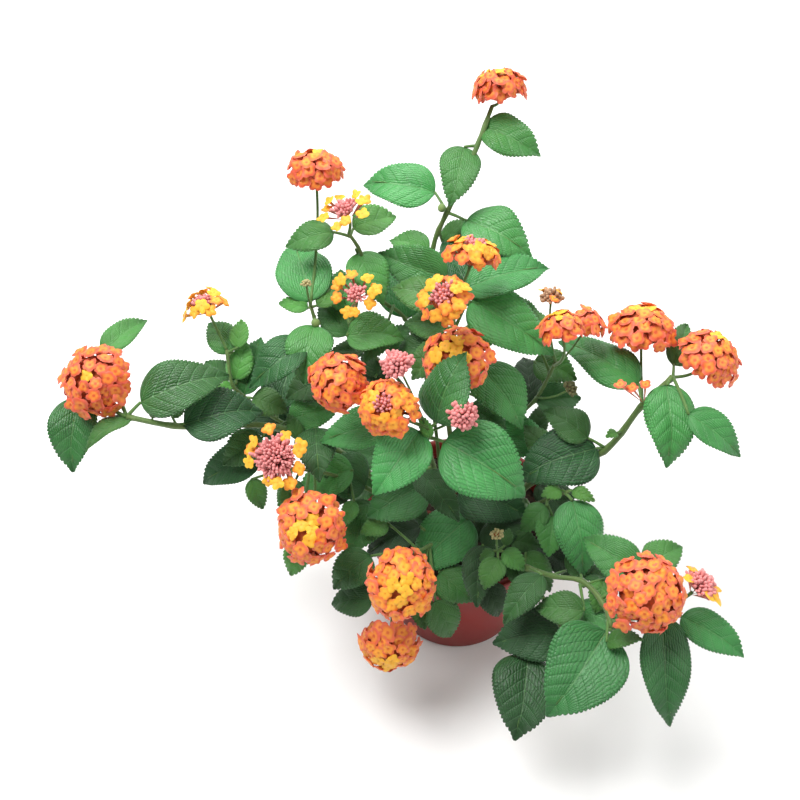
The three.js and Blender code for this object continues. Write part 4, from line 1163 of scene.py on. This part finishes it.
def fill_florets(bm, templates, flower, bloom, width, chance, fresh=0):
    """Florets over a zone of a head, older ones further out, each on a tube from the heart."""
    width *= bloom.size
    radius = flower["wide"] / 2
    place = head_frame(flower)
    turn = place.to_3x3()
    zone = math.cos(math.radians(bloom.first)) - math.cos(math.radians(bloom.last))
    pitch = width * FLORET_PITCH
    full = round(FULL_TURN * radius * radius * zone * HEAD_DOME / (pitch * pitch))
    foot = UP * ((RING_FOOT if bloom.florets else FULL_FOOT) * radius)
    lump = Vector((chance.uniform(0, 50), chance.uniform(0, 50), 0))
    for number, aim in enumerate(spread(bloom.florets or full, bloom.first, bloom.last, chance)):
        far = math.degrees(math.acos(aim.z))
        share = (far - bloom.first) / (bloom.last - bloom.first)
        age = bloom.young + (bloom.old - bloom.young) * share ** 0.8 + chance.uniform(-0.2, 0.2)
        if number < fresh:
            age = FRESH_AGE + 0.02 * number
        age = min(max(age, 0), 1)
        own = width * (0.84 + 0.22 * min(far / 90, 1)) * chance.uniform(0.88, 1.1)
        uneven = 1 + HEAD_LUMPS * noise.noise(aim * 1.6 + lump)
        ragged = chance.uniform(0.86, 0.97 + 0.08 * share)
        out = squashed(aim, radius * uneven * ragged)
        tilt = wobble(chance) * 0.24
        face = (aim * (1 - bloom.upright) + UP * bloom.upright + tilt).normalized()
        stand(bm, chance.choice(templates), place @ out, place @ (foot + out * TUBE_FOOT),
              turn @ face, own, own, chance.uniform(0, FULL_TURN), (age, chance.random()))


def fill_buds(bm, template, flower, bunch, chance):
    """Buds packed over a zone of a head, on tubes that spread from its middle."""
    radius = flower["wide"] / 2 * bunch.reach
    place = head_frame(flower)
    turn = place.to_3x3()
    cap = 1 - math.cos(math.radians(bunch.last))
    count = max(4, round(FULL_TURN * radius * radius * cap / (bunch.width * bunch.pitch) ** 2))
    foot = UP * (BUNCH_FOOT * radius)
    lump = Vector((chance.uniform(0, 50), chance.uniform(0, 50), 0))
    for aim in spread(count, 0, bunch.last, chance):
        uneven = 1 + BUNCH_LUMPS * noise.noise(aim * 2.2 + lump)
        out = squashed(aim, radius * uneven * chance.uniform(0.76, 1.02))
        own = bunch.width * chance.uniform(0.8, 1.15)
        face = ((out - foot).normalized() + wobble(chance, 0) * 0.12).normalized()
        stand(bm, template, place @ (out - face * own * 0.3), place @ (foot + out * TUBE_FOOT),
              turn @ face, own, own * bunch.tall, chance.uniform(0, FULL_TURN),
              (0, chance.random()))


def heart(bm, flower, share):
    """The heart of a head that its florets stand on, made after them."""
    layer = tone_layer(bm)
    radius = flower["wide"] / 2 * share
    made = bmesh.ops.create_uvsphere(bm, u_segments=16, v_segments=10, radius=radius)
    place = head_frame(flower)
    for v in dict.fromkeys(made["verts"]):
        v.co = place @ squashed(v.co, 1)
        v[layer] = (0.6, 0.5, 0, 0)
    for f in {f for v in made["verts"] for f in v.link_faces}:
        f.material_index = 1


def pot_bmesh():
    """The moulded shell, closed under its foot, with its drain holes cut through the floor."""
    bm = lathe(POT_WALL, POT_STEPS)
    bmesh.ops.holes_fill(bm, edges=[e for e in bm.edges if e.is_boundary], sides=0)
    reach = DRAIN_FACETS * FULL_TURN / POT_STEPS
    for number in range(DRAIN_COUNT):
        turn = (number + 0.5) * FULL_TURN / DRAIN_COUNT
        middle = Vector((DRAIN_RING * math.cos(turn), DRAIN_RING * math.sin(turn), 0))
        gone = []
        for f in bm.faces:
            at = f.calc_center_median()
            off = (math.atan2(at.y, at.x) - turn + math.pi) % FULL_TURN - math.pi
            near = abs(off) < reach and abs(math.hypot(at.x, at.y) - DRAIN_RING) < DRAIN_RADIUS
            if near and at.z < DRAIN_BELOW and len(f.verts) == 4:
                gone.append(f)
        bmesh.ops.delete(bm, geom=gone, context="FACES")
        rims = [e for e in bm.edges if e.is_boundary]
        for v in {v for e in rims for v in e.verts}:
            aim = Vector((v.co.x, v.co.y, 0)) - middle
            spot = middle + aim.normalized() * DRAIN_RADIUS
            v.co.x, v.co.y = spot.x, spot.y
        bmesh.ops.bridge_loops(bm, edges=rims)
    bmesh.ops.recalc_face_normals(bm, faces=bm.faces)
    return bm


def soil_height(x, y):
    """The crumbly top of the soil, a low mound."""
    share = min(math.hypot(x, y) / SOIL_BRIM, 1)
    lump = noise.noise(Vector((x, y, 0)) * 0.16) * 1.3
    crumb = noise.noise(Vector((x, y, 9)) * 0.6) * 0.6
    return SOIL_TOP + SOIL_MOUND * (1 - share * share) + (lump + crumb) * min((1 - share) * 12, 1)


def soil_bmesh():
    """The soil that fills the pot, with a flat foot and a crumbly top."""
    foot, floor = SOIL_FOOT
    profile = [(0, floor), (foot, floor)]
    profile += [(SOIL_BRIM * (1 - i / SOIL_RINGS), SOIL_TOP) for i in range(SOIL_RINGS + 1)]
    bm = lathe(profile, SOIL_STEPS)
    for v in bm.verts:
        if v.co.z > SOIL_TOP - 1:
            v.co.z = soil_height(v.co.x, v.co.y)
    return bm


def scattered(chance, count, reach):
    """Spots evenly spread over the soil."""
    for _ in range(count):
        radius, turn = reach * math.sqrt(chance.random()), chance.uniform(0, FULL_TURN)
        x, y = radius * math.cos(turn), radius * math.sin(turn)
        yield Vector((x, y, soil_height(x, y)))


def crumbs_bmesh():
    """Loose bits of bark and peat on the soil."""
    bm = bmesh.new()
    chance = random.Random(11)
    for spot in scattered(chance, CRUMBS, SOIL_BRIM - 2):
        size = chance.uniform(0.5, 1.7)
        made = bmesh.ops.create_icosphere(bm, subdivisions=1, radius=size)
        turn = Quaternion(Vector((chance.random(), chance.random(), 1)), chance.uniform(0, 6))
        flat = chance.uniform(0.5, 0.9)
        for v in dict.fromkeys(made["verts"]):
            v.co *= chance.uniform(0.8, 1.15)
            v.co = turn @ Vector((v.co.x, v.co.y * 0.8, v.co.z * flat)) + spot
    return bm


def litter_bmesh(templates):
    """Dry florets that have fallen on the soil."""
    bm = bmesh.new()
    tone_layer(bm)
    chance = random.Random(12)
    for spot in scattered(chance, FALLEN, SOIL_BRIM - 4):
        tilt = Vector((chance.uniform(-1, 1), chance.uniform(-1, 1), 0.9)).normalized()
        width = chance.uniform(3.5, 6)
        place = spot + UP * (0.3 * width)
        stand(bm, chance.choice(templates), place, place - tilt * width, tilt, width,
              2.2 * width, chance.uniform(0, 6), (1, chance.random()))
    return bm


def leaf_base(stem, row):
    """Where a leaf's stalk ends and its blade begins."""
    return root_of(stem, row["at"]) + aim_of(*row["stalk"][1:]) * row["stalk"][0]


def light_of(name, number):
    """1 for a leaf held up to the light, -1 for one that stays dark, else 0."""
    return (number in SUNLIT.get(name, ())) - (number in DARK.get(name, ()))


def shade_of_leaves():
    """How much painted shade darkens each leaf, from 0 to 1: under the leaves above it and low down.
    """
    spots = {}
    for name, stem in PLANT.items():
        for number, row in enumerate(stem["leaves"]):
            length, heading, lift = row["blade"]
            spots[name, number] = leaf_base(stem, row) + aim_of(heading, lift) * length / 2, length
    shade = {}
    for key, (spot, _) in spots.items():
        over = 0
        for other, length in spots.values():
            above = other - spot
            if above.z > SHADE_GAP and math.hypot(above.x, above.y) < SHADE_REACH * length:
                over += 1
        low = LOW_SHADE * max(1 - spot.z / LOW_TOP, 0)
        shade[key] = 1 - SHADE_LEFT ** over * (1 - low)
        light = light_of(*key)
        if light > 0:
            shade[key] *= SUNLIT_SHADE
        elif light < 0:
            shade[key] = max(shade[key], DARK_SHADE)
    return shade


def leaves_bmesh(name, stem, look, shade):
    """All the blades of a stem."""
    bm = bmesh.new()
    for number, row in enumerate(stem["leaves"]):
        blade(bm, leaf_base(stem, row), row, look.tooth / MM, shade[name, number],
              light_of(name, number), random.Random(f"{name} leaf {number}"))
    return bm


def stem_width(stem):
    """A stem thins to its tip and swells at its nodes."""
    nodes = [row["at"] for row in stem["leaves"]]

    def width_at(share):
        swell = max(math.exp(-(((share - node) / 0.012) ** 2)) for node in nodes)
        return stem["thick"] * (0.94 - 0.28 * share) * (1 + 0.3 * swell)

    return width_at


def leaf_rib(base, row):
    """The midrib on the underside of a blade, from its stalk to near its tip."""
    length, heading, lift = row["blade"]
    aim, _, face = blade_axes(heading, lift, row["roll"])
    points = []
    for i in range(RIB_RINGS + 1):
        share = 0.86 * i / RIB_RINGS
        rise = 4 * LEAF_ARCH * length * share * (1 - share) - RIB_DEPTH
        points.append(base + aim * share * length + face * rise)
    return points


def stalks_bmesh(name, stem):
    """A stem with its leaf stalks, the ribs under its leaves and its flower stalks."""
    bm = bmesh.new()
    chance = random.Random(f"{name} stalks")
    rod(bm, stem_row(stem, STEM_RINGS), stem_width(stem), 12, corners=0.09, tone=(0.2, 0, 0, 0))
    for row in stem["leaves"]:
        root, base = root_of(stem, row["at"]), leaf_base(stem, row)
        thick = 1.15 + 0.012 * row["blade"][0]
        arch = UP * (0.06 * row["stalk"][0])
        stalk = bezier(root, root.lerp(base, 0.5) + arch, base, LEAF_STALK_RINGS)
        rod(bm, stalk, lambda share, t=thick: t * (1.25 - 0.3 * share), 8, tone=(0.8, 0, 0, 0))
        rod(bm, leaf_rib(base, row), lambda share, t=thick: t * (0.95 - 0.72 * share), 6,
            tone=(0.9, 0, 0, 0))
    for flower in stem["heads"].values():
        width, flare = (1.5, 0.5) if flower["wide"] > 18 else (1.1, 0.3)
        rod(bm, stalk_row(stem, flower, STALK_RINGS),
            lambda share, w=width, f=flare: w * (1.15 - 0.2 * share) + f * share ** 12, 8,
            corners=0.06, tone=(0.9, chance.random(), 0, 0))
    bmesh.ops.recalc_face_normals(bm, faces=bm.faces)
    return bm


def hair_template():
    """A hair 1 mm tall and, at its foot, 1 mm wide."""
    bm = bmesh.new()
    bmesh.ops.create_cone(bm, cap_ends=True, segments=3, radius1=0.5, radius2=0.05, depth=1)
    return as_mesh("hair", bm)


def hairs_bmesh():
    """Short stiff hairs that stand out from the stems and flower stalks."""
    bm = bmesh.new()
    hair = hair_template()
    chance = random.Random(13)
    rows = []
    for stem in PLANT.values():
        above = [point for point in stem_row(stem, STEM_RINGS) if point.z > SOIL_TOP + 5]
        rows.append((above, stem["thick"] * 0.45))
        for flower in stem["heads"].values():
            rows.append((stalk_row(stem, flower, STALK_RINGS)[2:], 0.65))
    for row, radius in rows:
        length = sum((q - p).length for p, q in zip(row, row[1:]))
        frames = turned_frames(row)
        for _ in range(round(length * HAIRS_A_MM)):
            k = chance.randrange(len(row) - 1)
            spot = row[k].lerp(row[k + 1], chance.random())
            side, other = frames[k]
            turn = chance.uniform(0, FULL_TURN)
            out = side * math.cos(turn) + other * math.sin(turn)
            tilt = (row[k + 1] - row[k]).normalized() * chance.uniform(-0.2, 0.5)
            lie = UP.rotation_difference((out + tilt).normalized())
            tall = chance.uniform(0.5, 1.0)
            before = len(bm.verts)
            bm.from_mesh(hair)
            bm.verts.ensure_lookup_table()
            for v in bm.verts[before:]:
                x, y, z = v.co
                local = Vector((x * HAIR_THICK, y * HAIR_THICK, (z + 0.4) * tall))
                v.co = spot + out * radius + lie @ local
    return bm


def berry(bm, spot, aim, radius):
    """A round unripe fruit on its short stalk."""
    layer = tone_layer(bm)
    middle = spot + aim * (radius + 2)
    made = bmesh.ops.create_uvsphere(bm, u_segments=14, v_segments=9, radius=radius)
    lie = UP.rotation_difference(aim)
    for v in dict.fromkeys(made["verts"]):
        top = v.co.z / radius
        v.co.z *= 0.94 - 0.1 * max(top, 0) ** 4
        v.co = middle + lie @ v.co
        v[layer] = (0, 0.5, (top + 1) / 2, 0)
    rod(bm, [spot.lerp(middle, i / 4) for i in range(5)], lambda share: 1.1, 8)


def left_over_bmesh():
    """The few old florets that still hang on where a head has fallen."""
    name, share, reach, width = LEFT_OVER
    spot = along(stem_row(PLANT[name], STEM_RINGS), share)
    bm = bmesh.new()
    chance = random.Random("left over")
    for side in (-1, 0, 1):
        out = Vector(reach) + Vector((side * width, 0, chance.uniform(-2, 2)))
        face = (out.normalized() + UP * 0.6).normalized()
        stand(bm, floret_template(4, 1), spot + out, spot, face, width, width,
              chance.uniform(0, 6), (0.9, chance.random()))
    return bm


class Placing(bpy.types.Operator):
    """Shared by the operators that build pieces."""

    bl_options = {"REGISTER", "UNDO"}


class LANTANA_OT_stage(Placing):
    """Lay the pale floor, set the soft lights and place the camera"""

    bl_idname = "lantana.stage"
    bl_label = "Floor, lights and camera"

    def execute(self, context):
        look = context.scene.lantana_stage
        bm = bmesh.new()
        bmesh.ops.create_grid(bm, x_segments=2, y_segments=2, size=look.floor / 2)
        mesh = as_mesh("floor", bm)
        surface = Surface("pale floor", Specular_IOR_Level=0.1)
        pale = surface.blend(surface.noise(3), (0.88, 0.88, 0.87), (0.9, 0.9, 0.89))
        mesh.materials.append(surface.finish(pale, 0.9))
        floor = bpy.data.objects.new("floor", mesh)
        context.scene.collection.objects.link(floor)
        for name, spot, size, share in LIGHTS:
            lamp = bpy.data.lights.new(name, "AREA")
            lamp.energy, lamp.size = look.key * share, size
            light = bpy.data.objects.new(name, lamp)
            light.location = spot
            light.rotation_euler = (LIT_SPOT - light.location).to_track_quat("-Z", "Y").to_euler()
            context.scene.collection.objects.link(light)
        world = bpy.data.worlds.new("soft sky")
        world.use_nodes = True
        sky = world.node_tree.nodes["Background"]
        sky.inputs["Color"].default_value = (1.0, 1.0, 1.0, 1)
        sky.inputs["Strength"].default_value = look.fill
        context.scene.world = world
        context.scene.view_settings.view_transform = "Standard"
        eye = bpy.data.cameras.new("camera")
        eye.lens, eye.sensor_width = look.lens, SENSOR
        camera = bpy.data.objects.new("camera", eye)
        camera.location = CAMERA_SPOT
        camera.rotation_euler = (math.radians(CAMERA_TILT), 0, 0)
        context.scene.collection.objects.link(camera)
        context.scene.camera = camera
        return {"FINISHED"}


class LANTANA_OT_pot(Placing):
    """Turn the nursery pot with its rolled rim and drain holes"""

    bl_idname = "lantana.pot"
    bl_label = "Pot"

    def execute(self, context):
        plastic = pot_plastic(context.scene.lantana_pot)
        finished("nursery_pot", pot_bmesh(), [plastic], "pot_plastic", ["pot"])
        return {"FINISHED"}


class LANTANA_OT_soil(Placing):
    """Fill the pot with crumbly soil and its fallen litter"""

    bl_idname = "lantana.soil"
    bl_label = "Soil"

    def execute(self, context):
        surface = soil_surface()
        finished("potting_soil", soil_bmesh(), [surface], "soil", ["soil"])
        finished("crumbs", crumbs_bmesh(), [surface], "soil")
        templates = [floret_template(4, 1), floret_template(5, 3)]
        finished("fallen_florets", litter_bmesh(templates), [dry_surface()], "soil")
        return {"FINISHED"}


class LANTANA_OT_leaves(Placing):
    """Grow the leaves of every stem"""

    bl_idname = "lantana.leaves"
    bl_label = "Leaves"

    def execute(self, context):
        look = context.scene.lantana_leaf
        sides = [leaf_surface(look), leaf_surface(look, under=True)]
        shade = shade_of_leaves()
        for name, stem in PLANT.items():
            piece = finished("leaves_" + name, leaves_bmesh(name, stem, look, shade), sides,
                             "green", ["stem_" + name])
            wall = piece.modifiers.new("blade", "SOLIDIFY")
            wall.thickness, wall.offset, wall.material_offset = look.thick, -1, 1
        return {"FINISHED"}


class LANTANA_OT_stems(Placing):
    """Grow the stems with their leaf stalks, flower stalks and hairs"""

    bl_idname = "lantana.stems"
    bl_label = "Stems and stalks"

    def execute(self, context):
        surface = stem_surface()
        for name, stem in PLANT.items():
            finished("stalks_" + name, stalks_bmesh(name, stem), [surface], "green",
                     ["stem_" + name])
        finished("hairs", hairs_bmesh(), [hair_surface()], "green")
        return {"FINISHED"}


class LANTANA_OT_heads(Placing):
    """Flower the heads with florets and with bunches of buds"""

    bl_idname = "lantana.heads"
    bl_label = "Flower heads"

    def execute(self, context):
        look = context.scene.lantana_flower
        petals, inside = petal_surface(look), heart_shade_surface()
        finishes = {
            "pink": bud_surface("pink buds", (0.7, 0.3, 0.2), look.bud),
            "cream": bud_surface("cream buds", (0.16, 0.22, 0.06), (0.5, 0.45, 0.2)),
            "tan": bud_surface("faded buds", (0.3, 0.14, 0.07), (0.52, 0.3, 0.17)),
            "spent": bud_surface("spent cups", (0.12, 0.16, 0.05), (0.2, 0.2, 0.08)),
        }
        florets = [floret_template(*kind) for kind in FLORET_KINDS]
        bud = bud_template()
        width = look.floret / MM
        flowers = [pair for stem in PLANT.values() for pair in stem["heads"].items()]
        for name, flower in flowers:
            chance = random.Random(name)
            own = name.split("_", 1)[1]
            bm = bmesh.new()
            if flower["kind"] == "full":
                young, old, fresh = FULL_LOOK[name]
                small = min(1, 0.72 + 0.28 * flower["wide"] / FULL_WIDE)
                bloom = Bloom(*FULL_ZONE, young, old, 0, small, FULL_UPRIGHT, FULL_HEART)
                fill_florets(bm, florets, flower, bloom, width, chance, fresh)
                heart(bm, flower, bloom.heart)
                finished("florets_" + own, bm, [petals, inside], "petals_orange", [name])
            elif flower["kind"] == "ring":
                bloom, last, reach = RING_LOOK[name]
                fill_florets(bm, florets, flower, bloom, width, chance)
                heart(bm, flower, bloom.heart)
                finished("florets_" + own, bm, [petals, inside], "petals_yellow", [name])
                bunch = Bunch(last, RING_BUD_WIDTH, reach, RING_BUD_TALL, RING_BUD_PITCH)
                bm = bmesh.new()
                fill_buds(bm, bud, flower, bunch, chance)
                finished("bunch_" + own, bm, [finishes["pink"]], "buds_pink", ["cluster_" + own])
            else:
                bunch, size, first_name, finish, slot = BUNCHES[flower["kind"]]
                fill_buds(bm, bud, flower, bunch, chance)
                heart(bm, flower, size)
                finished(first_name + own, bm, [finishes[finish], inside], slot, [name])
            if flower["kind"] == "seed":
                bm = bmesh.new()
                fill_florets(bm, florets, flower, SEED_LOOK, width, chance)
                finished("last_" + own, bm, [petals], "petals_yellow")
        return {"FINISHED"}


class LANTANA_OT_extras(Placing):
    """Hang the green fruits and the last florets of a fallen head"""

    bl_idname = "lantana.extras"
    bl_label = "Fruits and last florets"

    def execute(self, context):
        bm = bmesh.new()
        tone_layer(bm)
        for name, share, heading in BERRIES:
            spot = along(stem_row(PLANT[name], STEM_RINGS), share)
            berry(bm, spot, aim_of(heading, BERRY_LIFT), BERRY_RADIUS)
        surface = bud_surface("green fruit", (0.09, 0.2, 0.05), (0.22, 0.33, 0.1))
        finished("green_fruits", bm, [surface], "buds_green")
        petals = petal_surface(context.scene.lantana_flower)
        finished("last_florets", left_over_bmesh(), [petals], "petals_orange")
        return {"FINISHED"}


class LANTANA_PT_panel(bpy.types.Panel):
    """Lists the pieces of the lantana and their sizes and colours"""

    bl_label = "Potted lantana"
    bl_idname = "LANTANA_PT_panel"
    bl_space_type = "VIEW_3D"
    bl_region_type = "UI"
    bl_category = "Lantana"

    def draw(self, context):
        layout = self.layout
        for group, _ in LOOKS:
            look = getattr(context.scene, group)
            for name in look.bl_rna.properties.keys():
                if name not in ("rna_type", "name"):
                    layout.prop(look, name)
        for operator in STEPS:
            layout.operator(operator.bl_idname)


LOOKS = [("lantana_pot", PotLook), ("lantana_leaf", LeafLook), ("lantana_flower", FlowerLook),
         ("lantana_stage", StageLook)]
STEPS = [LANTANA_OT_stage, LANTANA_OT_pot, LANTANA_OT_soil, LANTANA_OT_stems, LANTANA_OT_leaves,
         LANTANA_OT_heads, LANTANA_OT_extras]
CLASSES = [group for _, group in LOOKS] + STEPS + [LANTANA_PT_panel]


def register():
    for cls in CLASSES:
        bpy.utils.register_class(cls)
    for name, group in LOOKS:
        setattr(bpy.types.Scene, name, bpy.props.PointerProperty(type=group))


def unregister():
    for name, _ in LOOKS:
        delattr(bpy.types.Scene, name)
    for cls in reversed(CLASSES):
        bpy.utils.unregister_class(cls)


def main():
    register()
    for operator in STEPS:
        group, name = operator.bl_idname.split(".")
        getattr(getattr(bpy.ops, group), name)()


if __name__ == "__main__":
    main()
